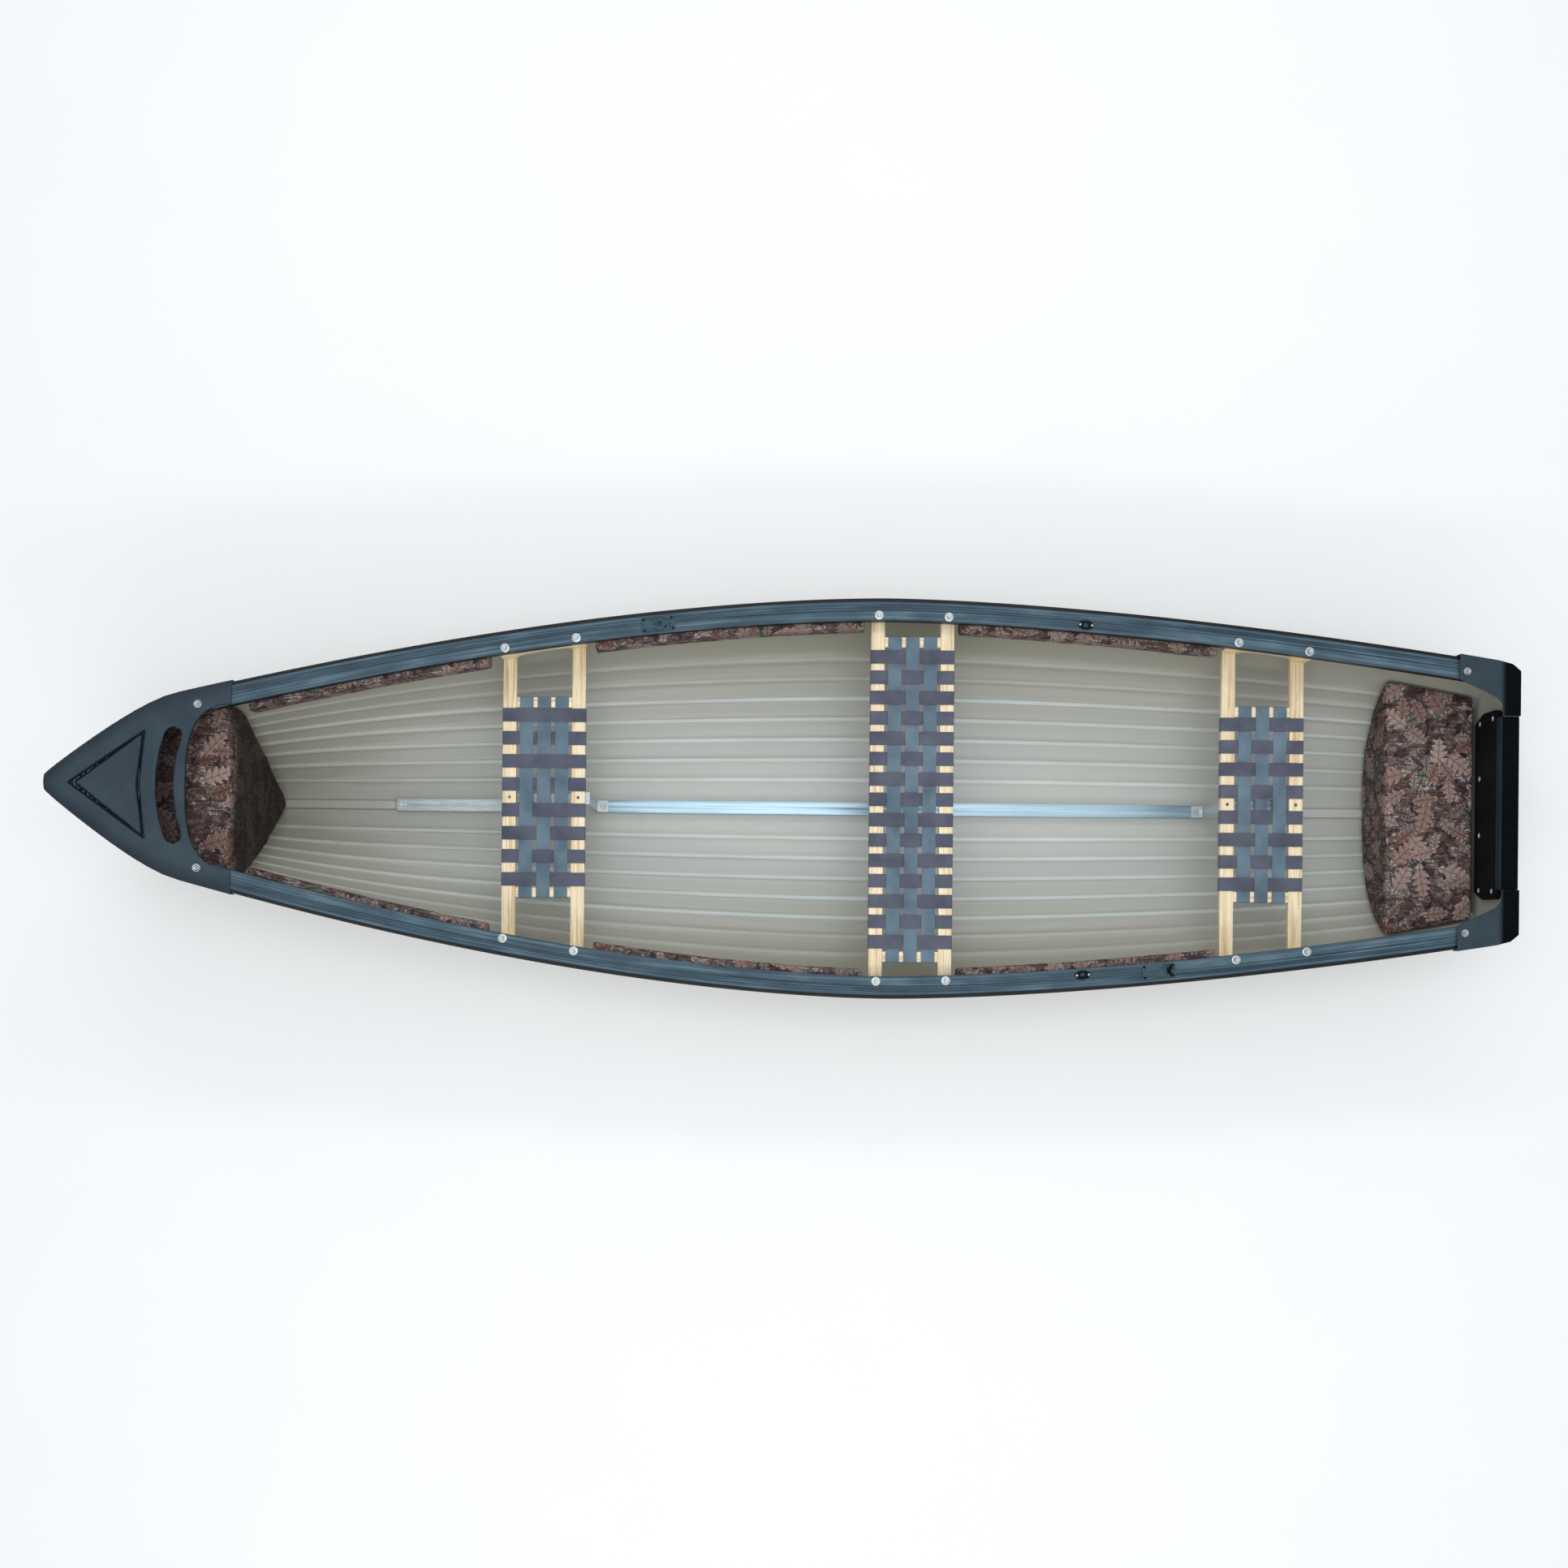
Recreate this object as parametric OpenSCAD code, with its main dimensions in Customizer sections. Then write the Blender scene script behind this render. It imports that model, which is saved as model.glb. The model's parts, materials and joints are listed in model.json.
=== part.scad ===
// Square-stern canoe: a moulded hull with plastic gunwales, foam flotation,
// an aluminium keel tube and three web seats on wooden frames.
// Millimetres. +X runs aft, +Y to starboard, +Z up.
// The origin is on the centre plane, halfway along the boat, at the lowest point of the hull.

/* [Hull] */
// Length over all, from the nose of the bow deck to the back of the transom cap
hull_l = 3962; // [3300:1:4800]
// Beam over the gunwales at the widest station
beam = 1109; // [940:1:1340]
// Depth amidships, from the gunwale top to the bottom
depth = 355; // [310:1:430]
// Height of the bow over the gunwales amidships
bow_rise = 245; // [160:1:300]
// Height of the stern over the gunwales amidships
stern_rise = 35; // [0:1:60]
// Distance of the widest station behind the middle of the boat
widest_x = 250; // [0:1:350]
// Thickness of the hull skin
skin_t = 5; // [4:0.5:8]
// Thickness of the moulded transom wall
transom_t = 24; // [18:1:32]
// Length of the curved stem, from the bow to the keel
stem_l = 330; // [260:1:420]
// Half-width of the flat bottom amidships
flat_half = 90; // [60:1:120]
// Height of the keel line at the bow end, where the bottom lifts
bow_rocker = 18; // [0:1:40]
// Height of the keel line at the transom
stern_rocker = 26; // [0:1:50]
// Number of moulded flutes on each side of the floor
flute_count = 7; // [3:1:7]
// Height of a flute
flute_h = 5; // [2:0.5:7]
// Width of a flute
flute_w = 14; // [10:1:18]
// Height of the moulded centre ridge at the two ends of the floor
ridge_h = 10; // [6:1:14]

/* [Gunwales] */
// Width of a gunwale
gunwale_w = 62; // [58:1:70]
// Depth of the solid inner half of a gunwale
gunwale_h = 30; // [24:1:36]
// Thickness of the gunwale's top plate over the hull's edge
gunwale_t = 8; // [6:1:10]
// Depth of the outer lip
lip_h = 34; // [28:1:40]
// Thickness of the outer lip
lip_t = 6; // [4:1:7]
// Distance of the seat bolts from the gunwale's outer edge
bolt_inset = 48; // [46:1:52]

/* [Bow deck] */
// Distance from the bow to the ends of the deck's two arms
deck_l = 461; // [420:1:520]
// Depth of the curved opening between the arms
deck_bay = 112; // [80:1:140]
// Thickness of the deck
deck_t = 5; // [4:0.5:6]
// Depth of the skirt that hangs outside the gunwales
deck_skirt = 32; // [24:1:40]
// Length of the carry handle's slot
handle_l = 310; // [260:1:330]
// Width of the carry handle's slot
handle_w = 41; // [34:1:46]
// Distance of the slot's middle from the opening's edge
handle_inset = 52; // [46:1:60]

/* [Seats] */
// Distance between the two bars of a seat
bar_pitch = 193; // [180:1:210]
// Width of a seat bar
bar_w = 37; // [30:1:42]
// Thickness of a seat bar
bar_t = 20; // [16:1:24]
// Middle of the front seat
front_seat_x = -709; // [-760:1:-650]
// Middle of the middle seat
mid_seat_x = 318; // [250:1:380]
// Middle of the stern seat
stern_seat_x = 1310; // [1260:1:1350]
// Half-length of the web on the front seat
front_half = 280; // [260:1:300]
// Gap from the end of the middle seat's frame to the side of the boat
mid_side_gap = 101.5; // [95:0.5:120]
// Half-length of the web on the stern seat
stern_half = 275; // [260:1:300]
// Drop of the front and stern seats below the gunwale top
seat_drop = 97; // [80:1:110]
// Width of the rail that closes each end of a web
rail_w = 29; // [24:1:34]
// Width of the webbing
web_w = 38; // [30:1:42]
// Thickness of the webbing
web_t = 1.8; // [1.4:0.1:2.2]
// Pitch of the three lengthwise straps
web_pitch_long = 49.4; // [45:0.1:52]

/* [Keel tube] */
// Width of the keel tube
tube_w = 37; // [30:1:45]
// Height of the keel tube
tube_h = 20; // [16:1:26]
// Wall of the keel tube
tube_wall = 2; // [1.5:0.5:3]
// Bow end of the short forward tube
tube_fore_x = -1178; // [-1220:1:-1100]

/* [Foam] */
// Height of the bow block's top
bow_block_z = 420; // [380:1:440]
// Height of the stern block's top
stern_block_z = 215; // [180:1:240]
// Height of a side strip
strip_h = 68; // [50:1:80]
// Distance a side strip stands inside the gunwale's inner edge
strip_proud = 20; // [10:1:26]

/* [Fittings] */
// Bore of an oarlock socket
oarlock_d = 13; // [12:0.1:14]
// Oarlock sockets' station
oarlock_x = 792; // [700:1:880]
// Station of the starboard rod clip
starboard_clip_x = -389; // [-450:1:-330]
// Station of the port rod clip
port_clip_x = 1001; // [960:1:1040]
// Diameter of a clip's hinge pin
clip_pin_d = 4; // [3:0.5:5]
// Diameter of the seat bolts
bolt_d = 6; // [5:0.5:6]

/* [Hidden] */

$fn = 40;

hull_colour = [0.62, 0.60, 0.54];
deck_colour = [0.18, 0.24, 0.29];
gunwale_colour = [0.30, 0.38, 0.44];
foam_colour = [0.45, 0.38, 0.30];
wood_colour = [0.88, 0.80, 0.65];
strap_long_colour = [0.37, 0.45, 0.53];
strap_cross_colour = [0.37, 0.38, 0.45];
alloy_colour = [0.72, 0.76, 0.80];
steel_colour = [0.75, 0.75, 0.75];
black_colour = [0.06, 0.06, 0.07];

// Gaps between pieces that lie against each other.
gap = 0.3;
bow_x = -hull_l / 2;
stern_x = hull_l / 2;

// ---- Lines of the boat ----

// Share of the way from the widest station to the bow, and to the stern.
function fore(x) = max(0, (widest_x - x) / (widest_x - bow_x));
function aft(x) = max(0, (x - widest_x) / (stern_x - widest_x));

// The plan closes in a rounded nose over its last third of a metre.
nose_l = 330;
nose_blunt = 12;
function nose(x) = pow(1 - pow(max(0, 1 - (x - bow_x + nose_blunt) / nose_l), 1.7), 0.8);

// Half-breadth over the gunwales, and height of their top.
function half_beam(x) = beam / 2 * (1 - 0.736 * pow(fore(x), 1.76) - 0.322 * pow(aft(x), 1.62)) * nose(x);
function sheer(x) = depth + bow_rise * pow(fore(x), 2.2) + stern_rise * pow(aft(x), 2);
function sheer_slope(x) = (sheer(x + 1) - sheer(x - 1)) / 2;
function plan_slope(x) = (half_beam(x + 1) - half_beam(x - 1)) / 2;

// The hull's edge stands inside the gunwale lip and under its top plate.
lip_inset = 24;
function hull_half(x) = half_beam(x) - lip_inset * half_beam(x) / (half_beam(x) + 30);
edge_gap = 1.2;
function hull_top(x) = sheer(x) - gunwale_t - edge_gap;

// The keel line is level along the middle of the boat and lifts to both ends.
keel_level_fore = -1180;
keel_level_aft = 1300;
function rocker(x) = bow_rocker * pow(max(0, keel_level_fore - x) / (keel_level_fore - bow_x), 2)
    + stern_rocker * pow(max(0, x - keel_level_aft) / (stern_x - keel_level_aft), 2);
stem_x = bow_x + 9;
stem_top = sheer(stem_x) - 40;
function stem(x) = stem_top
    * (1 - pow(1 - pow(min(1, max(0, 1 - (x - stem_x) / stem_l)), 2.2), 1 / 2.2));
function keel(x) = max(rocker(x), stem(x));

// Fullness of a section: the first is the bottom's, the second the side's.
function bottom_power(x) = 2.6 - 1.5 * pow(fore(x), 1.6) - 0.75 * pow(aft(x), 1.5);
function side_power(x) = 2.8 - 1.2 * pow(fore(x), 2) - 0.5 * pow(aft(x), 2);
function flat_y(x) = flat_half * (1 - pow(fore(x), 1.2)) * (1 - 0.5 * pow(aft(x), 2));

// One side of a section, from the flat of the bottom up to the edge, as [y, z].
section_steps = 14;
function section(x, inset, bottom) = [
    for (step = [0:section_steps])
        let (angle = 90 * step / section_steps, flat = min(flat_y(x), 0.5 * (hull_half(x) - inset)))
            [
                flat + (hull_half(x) - inset - flat) * pow(sin(angle), 2 / bottom_power(x)),
                hull_top(x) - (hull_top(x) - bottom) * pow(cos(angle), 2 / side_power(x))
            ]
];

// The inner bottom. It follows the stem a little further back, so the stem stays thick.
stem_wall = 14;
function inner_bottom(x) = max(rocker(x), stem(x - stem_wall)) + skin_t;

// Half-breadth inside the hull at a height.
function inside_y(x, z) = let (
    flat = min(flat_y(x), 0.5 * (hull_half(x) - skin_t)),
    share = min(1, max(0, (hull_top(x) - z) / (hull_top(x) - inner_bottom(x))))
) flat + (hull_half(x) - skin_t - flat)
    * pow(1 - pow(share, side_power(x)), 1 / bottom_power(x));

// Lengths along a run of points, and the point at a share of the whole length.
function lengths(points) = [
    for (i = 0, sum = 0; i < len(points);
        sum = sum + (i + 1 < len(points) ? norm(points[i + 1] - points[i]) : 0), i = i + 1) sum
];
function along(points, sums, share) = let (s = share * sums[len(sums) - 1]) [
    lookup(s, [for (i = [0:len(points) - 1]) [sums[i], points[i].x]]),
    lookup(s, [for (i = [0:len(points) - 1]) [sums[i], points[i].y]])
];

// Flutes sit at fixed shares of the half-girth, so they draw together to the bow.
flute_first = 0.108;
flute_step = 0.0751;
girth = 790;
flute_half = flute_w / 2 / girth;
ridge_half = tube_w / 2 / girth;
ridge_run = 175;
function ridge(x) = x < bow_block_fore ? 0
    : x < tube_fore_x - ridge_run || x > tube_main_aft + ridge_run ? ridge_h : 0;

// Each entry is [share of the half-girth, height of the point above the plain skin].
function floor_marks(x) = concat(
    [[0, ridge(x)], [ridge_half * 0.6, ridge(x)], [ridge_half, 0]],
    [
        for (k = [0:flute_count - 1], part = [-1, 0, 1])
            [flute_first + flute_step * k + part * flute_half, part == 0 ? flute_h : 0]
    ],
    [for (share = [0.65, 0.74, 0.82, 0.89, 0.95, 1]) [share, 0]]
);

// Keeps the two sides of the floor apart in the narrow bow.
narrowest = 60;
function inner_side(x) = let (
    points = concat([[0, inner_bottom(x)]], section(x, skin_t, inner_bottom(x))),
    sums = lengths(points)
) [
    for (mark = floor_marks(x))
        let (
            p = along(points, sums, mark[0]),
            d = along(points, sums, min(1, mark[0] + 0.01)) - along(points, sums, max(0, mark[0] - 0.01)),
            n = [-d.y, d.x] / norm(d)
        ) [max(narrowest * mark[0], p.x + n.x * mark[1]), p.y + n.y * mark[1]]
];
function outer_side(x) = concat([[0, keel(x)]], section(x, 0, keel(x)));

// A ring runs from the port edge down round the keel to the starboard edge.
function ring(x, side) = concat(
    [for (i = [len(side) - 1:-1:1]) [x, -side[i].x, side[i].y]],
    [for (p = side) [x, p.x, p.y]]
);

// Stations are closer together towards the bow, where the lines turn fastest.
stations = 30;
function station(i, from, to) = let (s = i / stations)
    from + (to - from) * (s < 0.36 ? 0.21 * pow(s / 0.36, 1.9) : 0.21 + 0.79 * (s - 0.36) / 0.64);

// Triangles of a grid of points, rows along the boat.
function grid(first, rows, columns, turned) = [
    for (i = [0:rows - 2], j = [0:columns - 2], half = [0, 1])
        let (
            a = first + i * columns + j,
            b = a + columns,
            t = half == 0 ? [a, b, b + 1] : [a, b + 1, a + 1]
        ) turned ? [t[2], t[1], t[0]] : t
];

module hull_shell() {
    stern_out = stern_x - 6;
    outer = [for (i = [0:stations]) let (x = station(i, stem_x, stern_out)) ring(x, outer_side(x))];
    inner = [
        for (i = [0:stations])
            let (x = station(i, stem_x + 40, stern_out - transom_t)) ring(x, inner_side(x))
    ];
    rows = stations + 1;
    a = len(outer[0]);
    b = len(inner[0]);
    base = rows * a;
    last = stations;
    points = concat([for (r = outer, p = r) p], [for (r = inner, p = r) p]);
    edges = [
        for (i = [0:last - 1], t = [
            [i * a + a - 1, (i + 1) * a + a - 1, base + (i + 1) * b + b - 1],
            [i * a + a - 1, base + (i + 1) * b + b - 1, base + i * b + b - 1],
            [base + i * b, base + (i + 1) * b, (i + 1) * a],
            [base + i * b, (i + 1) * a, i * a]
        ]) t
    ];
    ends = [
        [for (j = [0:a - 1]) j],
        [for (j = [a - 1:-1:0]) last * a + j],
        [for (j = [b - 1:-1:0]) base + j],
        [for (j = [0:b - 1]) base + last * b + j],
        [a - 1, base + b - 1, base], [a - 1, base, 0],
        [base + last * b + b - 1, last * a + a - 1, last * a],
        [base + last * b + b - 1, last * a, base + last * b]
    ];
    color(hull_colour)
        polyhedron(
            points = points,
            faces = concat(grid(0, rows, a, false), grid(base, rows, b, true), edges, ends),
            convexity = 12
        );
}

// ---- Lofted strips ----

// A solid through rings of points. Rings are ordered aft, and each runs anticlockwise seen from aft.
module loft(rings) {
    n = len(rings[0]);
    last = len(rings) - 1;
    sides = [
        for (i = [0:last - 1], j = [0:n - 1], half = [0, 1])
            let (
                a = i * n + j,
                b = i * n + (j + 1) % n
            ) half == 0 ? [a, a + n, b + n] : [a, b + n, b]
    ];
    ends = [[for (j = [0:n - 1]) j], [for (j = [n - 1:-1:0]) last * n + j]];
    polyhedron(points = [for (r = rings, p = r) p], faces = concat(sides, ends), convexity = 10);
}

// Copies for the port side.
module on_side(side) {
    if (side > 0)
        children();
    else
        mirror([0, 1, 0]) children();
}

// The place of a fitting on the starboard gunwale's top, turned and tilted as the gunwale runs there.
module on_gunwale(x, inset, lift = 0) {
    translate([x, half_beam(x) - inset, sheer(x)])
        rotate([0, 0, atan(plan_slope(x))])
            rotate([0, -atan(sheer_slope(x)), 0])
                translate([0, 0, lift]) children();
}

// ---- Gunwales ----

// The gunwales run under the arms of the deck and under the corner caps.
corner_l = 170;
corner_run = 62;
gunwale_fore_x = bow_x + deck_l - 120;
gunwale_aft_x = stern_x - corner_run;
inner_edge = gunwale_w - 30.5;
gunwale_steps = 26;
function gunwale_ring(x) = let (b = half_beam(x), s = sheer(x)) [
    [x, b - gunwale_w, s - gunwale_h],
    [x, b - inner_edge, s - gunwale_h],
    [x, b - inner_edge, s - gunwale_t],
    [x, b - lip_t, s - gunwale_t],
    [x, b - lip_t, s - lip_h],
    [x, b, s - lip_h],
    [x, b, s - 6],
    [x, b - 3, s],
    [x, b - gunwale_w + 3, s],
    [x, b - gunwale_w, s - 4]
];

seat_xs = [front_seat_x, mid_seat_x, stern_seat_x];
bar_xs = [for (x = seat_xs, s = [-1, 1]) x + s * bar_pitch / 2];
function bolt_y(x) = half_beam(x) - bolt_inset;
bolt_play = 0.4;

deck_bolt_x = bow_x + deck_l - 85;
cap_bolt_x = stern_x - 151;
corner_bolt_inset = 42;
oarlock_inset = 44;
socket_r = 9;
socket_play = 0.3;
clip_inset = 37;
screw_r = 1.6;
screw_play = 0.3;

module gunwale() {
    difference() {
        loft([
            for (i = [0:gunwale_steps])
                gunwale_ring(gunwale_fore_x + (gunwale_aft_x - gunwale_fore_x) * i / gunwale_steps)
        ]);
        for (x = bar_xs)
            translate([x, bolt_y(x), sheer(x) - 60])
                cylinder(h = 90, r = bolt_d / 2 + bolt_play);
        for (x = [deck_bolt_x, cap_bolt_x])
            on_gunwale(x, corner_bolt_inset)
                translate([0, 0, -50]) cylinder(h = 60, r = bolt_d / 2 + bolt_play);
        on_gunwale(oarlock_x, oarlock_inset)
            translate([0, 0, -50]) cylinder(h = 60, r = socket_r + socket_play);
        for (s = [-1, 1])
            on_gunwale(oarlock_x, oarlock_inset)
                translate([s * oarlock_screw_x, 0, -12]) cylinder(h = 20, r = screw_r + screw_play);
        children();
    }
}
module clip_screw_holes(x) {
    for (sx = [-1, 1], sy = [-1, 1])
        on_gunwale(x, clip_inset)
            translate([sx * clip_screw_x, sy * clip_screw_y, -7])
                cylinder(h = 20, r = screw_r + screw_play);
}
module gunwale_starboard() {
    color(gunwale_colour) gunwale() clip_screw_holes(starboard_clip_x);
}
module gunwale_port() {
    color(gunwale_colour) on_side(-1) gunwale() clip_screw_holes(port_clip_x);
}

// ---- Bow deck ----

deck_lap = 5;
deck_wall = 4;
deck_end_x = bow_x + deck_l;
bay_half = half_beam(deck_end_x) - gunwale_w - 2;
deck_steps = 16;
bay_steps = 20;
// Stations of the deck's sides, closer together round the nose.
function deck_x(i) = bow_x + 1 + (deck_l - 1) * pow(i / deck_steps, 1.6);
function deck_side(lap, set_back) = [
    for (i = [0:deck_steps]) let (x = deck_x(i)) [x + set_back * (1 - i / deck_steps), half_beam(x) + lap]
];
// The opening between the arms: a squared-off curve, deepest on the centre line.
function bay_edge() = [
    for (i = [-bay_steps:bay_steps])
        let (angle = 90 * i / bay_steps)
            [
                deck_end_x - deck_bay * pow(cos(angle), 2 / 2.4),
                bay_half * sign(angle) * pow(abs(sin(angle)), 2 / 3)
            ]
];
module deck_outline() {
    side = deck_side(deck_lap, 0);
    polygon(concat(
        [[bow_x, -side[0].y * 0.6]],
        [for (p = side) [p.x, -p.y]],
        bay_edge(),
        [for (i = [deck_steps:-1:0]) side[i]],
        [[bow_x, side[0].y * 0.6]]
    ));
}
module skirt_inside() {
    side = deck_side(deck_lap - deck_wall, deck_wall + 1);
    polygon(concat(
        [for (p = side) [p.x, -p.y]],
        [[deck_end_x + 10, -half_beam(deck_end_x) - 2], [deck_end_x + 10, half_beam(deck_end_x) + 2]],
        [for (i = [deck_steps:-1:0]) side[i]]
    ));
}
// A slab that follows the sheer, between two heights over the gunwale top.
module sheer_slab(low, high) {
    xs = [for (i = [-1:12]) bow_x + (deck_l + 40) * i / 12];
    translate([0, beam / 2, 0])
        rotate([90, 0, 0])
            linear_extrude(height = beam)
                polygon(concat(
                    [for (x = xs) [x, sheer(max(x, bow_x)) + low]],
                    [for (i = [len(xs) - 1:-1:0]) [xs[i], sheer(max(xs[i], bow_x)) + high]]
                ));
}
module upright(low, high) {
    translate([0, 0, low]) linear_extrude(height = high - low) children();
}
deck_low = depth - 40;
deck_high = depth + bow_rise + 60;

// The slot for a hand, bent round a centre aft of it.
handle_x = deck_end_x - deck_bay - handle_inset;
handle_bend = 430;
module handle_slot() {
    swing = handle_l / 2 / handle_bend * 180 / PI - handle_w / 2 / handle_bend * 180 / PI;
    translate([handle_x + handle_bend, 0])
        union() {
            difference() {
                circle(r = handle_bend + handle_w / 2, $fn = 200);
                circle(r = handle_bend - handle_w / 2, $fn = 200);
                for (s = [-1, 1])
                    rotate(-s * swing)
                        translate([-handle_bend * 2, s > 0 ? 0 : -handle_bend * 4])
                            square([handle_bend * 4, handle_bend * 4]);
            }
            for (s = [-1, 1])
                rotate(180 + s * swing) translate([handle_bend, 0]) circle(r = handle_w / 2);
        }
}

// The three-cornered groove that decorates the deck.
groove_w = 10;
groove_d = 2.5;
groove_apex_x = bow_x + 57;
groove_back_x = handle_x - 52;
groove_half = 148;
module groove(shrink) {
    polygon([
        [groove_apex_x + shrink * 2.6, 0],
        [groove_back_x + 5 - shrink, -groove_half + shrink * 1.7],
        [groove_back_x - 8 - shrink, 0],
        [groove_back_x + 5 - shrink, groove_half - shrink * 1.7]
    ]);
}
module bow_deck() {
    color(deck_colour)
        difference() {
            union() {
                intersection() {
                    upright(deck_low, deck_high) deck_outline();
                    sheer_slab(gap, gap + deck_t);
                }
                intersection() {
                    upright(deck_low, deck_high)
                        difference() {
                            deck_outline();
                            skirt_inside();
                        }
                    sheer_slab(-deck_skirt, gap + deck_t);
                }
            }
            upright(deck_low, deck_high) handle_slot();
            intersection() {
                upright(deck_low, deck_high)
                    difference() {
                        groove(0);
                        groove(groove_w);
                    }
                sheer_slab(gap + deck_t - groove_d, deck_t + 40);
            }
            for (side = [-1, 1])
                on_side(side)
                    on_gunwale(deck_bolt_x, corner_bolt_inset)
                        translate([0, 0, -10]) cylinder(h = 30, r = bolt_d / 2 + bolt_play);
        }
}

// ---- Stern ----

cap_x = stern_x - 52;
cap_half = 238;
cap_t = 4.5;
board_t = 17;
board_x = stern_x - 6 - transom_t - gap - board_t;
board_half = 262;
board_top = sheer(stern_x) - 40;

module transom_cap() {
    top = sheer(stern_x) - gunwale_t;
    color(deck_colour) {
        translate([cap_x, -cap_half + gap, top]) cube([stern_x - cap_x, cap_half * 2 - gap * 2, cap_t]);
        translate([cap_x, -cap_half + gap, top - 24])
            cube([board_x - cap_x - gap, cap_half * 2 - gap * 2, 25]);
        translate([stern_x - 5, -cap_half + gap, top - 24]) cube([5, cap_half * 2 - gap * 2, 25]);
    }
}

corner_step_y = 271;
module corner_plate() {
    fore_x = stern_x - corner_l;
    polygon([
        [fore_x, half_beam(fore_x) - gunwale_w - 4],
        [cap_x - 16, corner_step_y + 18],
        [cap_x, corner_step_y],
        [cap_x, cap_half],
        [stern_x, cap_half],
        [stern_x, half_beam(stern_x) - 14],
        [stern_x - 23, half_beam(stern_x - 23) + 1],
        [stern_x - corner_run, half_beam(stern_x - corner_run) + deck_lap],
        [fore_x, half_beam(fore_x) + deck_lap]
    ]);
}
module corner_skirt() {
    fore_x = stern_x - corner_l;
    polygon([
        [fore_x, half_beam(fore_x) + 1],
        [stern_x - corner_run, half_beam(stern_x - corner_run) + 1],
        [stern_x - 25, half_beam(stern_x - 25) - 3],
        [stern_x - 5, half_beam(stern_x) - 18],
        [stern_x - 5, cap_half],
        [stern_x, cap_half],
        [stern_x, half_beam(stern_x) - 14],
        [stern_x - 23, half_beam(stern_x - 23) + 1],
        [stern_x - corner_run, half_beam(stern_x - corner_run) + deck_lap],
        [fore_x, half_beam(fore_x) + deck_lap]
    ]);
}
module corner_cap() {
    top = sheer(stern_x) + 1;
    difference() {
        union() {
            translate([0, 0, top]) linear_extrude(height = cap_t) corner_plate();
            translate([0, 0, top - 30]) linear_extrude(height = 30 + cap_t) corner_skirt();
        }
        on_gunwale(cap_bolt_x, corner_bolt_inset)
            translate([0, 0, -10]) cylinder(h = 30, r = bolt_d / 2 + bolt_play);
    }
}
module stern_corner_cap_starboard() { color(deck_colour) corner_cap(); }
module stern_corner_cap_port() { color(deck_colour) on_side(-1) corner_cap(); }

// The board that an outboard motor's clamps bite on, with its screws sunk flush.
board_screw_r = 2.4;
sink_r = 5;
sink_depth = 3;
board_screw_play = 0.2;
transom_screw_low_z = stern_block_z + 36;
transom_screw_high_z = board_top - 8;
transom_screw_places = [
    [-235, transom_screw_low_z], [-80, transom_screw_low_z],
    [80, transom_screw_low_z], [235, transom_screw_low_z],
    [-240, transom_screw_high_z - 12], [240, transom_screw_high_z - 12]
];
module transom_board() {
    low = stern_block_z + 3;
    color(black_colour)
        difference() {
            translate([board_x, 0, 0])
                rotate([90, 0, 90])
                    linear_extrude(height = board_t)
                        polygon([
                            [-board_half + 24, low], [board_half - 24, low],
                            [board_half, low + 50], [board_half, board_top - 10],
                            [board_half - 10, board_top], [-board_half + 10, board_top],
                            [-board_half, board_top - 10], [-board_half, low + 50]
                        ]);
            for (p = transom_screw_places)
                translate([board_x, p[0], p[1]])
                    rotate([0, 90, 0]) {
                        translate([0, 0, -1])
                            cylinder(h = board_t + 2, r = board_screw_r + board_screw_play);
                        translate([0, 0, -0.01])
                            cylinder(
                                h = sink_depth,
                                r1 = sink_r + board_screw_play, r2 = board_screw_r + board_screw_play
                            );
                    }
        }
}
module transom_screws() {
    color(steel_colour)
        for (p = transom_screw_places)
            translate([board_x, p[0], p[1]])
                rotate([0, 90, 0]) {
                    cylinder(h = sink_depth, r1 = sink_r, r2 = board_screw_r);
                    cylinder(h = board_t - 1, r = board_screw_r);
                }
}

// ---- Foam ----

foam_gap = 3;
block_gap = flute_h + 5;
block_steps = 5;
block_levels = 8;
// A block's ring at a station: down the port side, across the keel and up the starboard side.
function block_ring(x, lean, top) = let (low = inner_bottom(x) + ridge_h + foam_gap + 2) concat(
    [
        for (k = [block_levels:-1:0])
            let (s = pow(k / block_levels, 1.7), z = low + (top - low) * s)
                [x + lean * (1 - s), -block_y(x + lean * (1 - s), z), z]
    ],
    [
        for (k = [0:block_levels])
            let (s = pow(k / block_levels, 1.7), z = low + (top - low) * s)
                [x + lean * (1 - s), block_y(x + lean * (1 - s), z), z]
    ]
);
function block_y(x, z) = max(9, inside_y(x, z - block_gap) - block_gap / 2);

bow_block_aft = bow_x + 431;
bow_block_fore = bow_x + 190;
bow_block_lean = 48;
module bow_foam_block() {
    color(foam_colour)
        loft([
            for (i = [0:block_steps])
                block_ring(
                    bow_block_fore + (bow_block_aft - bow_block_fore) * i / block_steps,
                    bow_block_lean * i / block_steps, bow_block_z
                )
        ]);
}
stern_block_fore = stern_x - 299;
module stern_foam_block() {
    color(foam_colour)
        loft([
            for (i = [0:block_steps])
                block_ring(
                    stern_block_fore + (board_x - 3 - stern_block_fore) * i / block_steps,
                    0, stern_block_z
                )
        ]);
}

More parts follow.
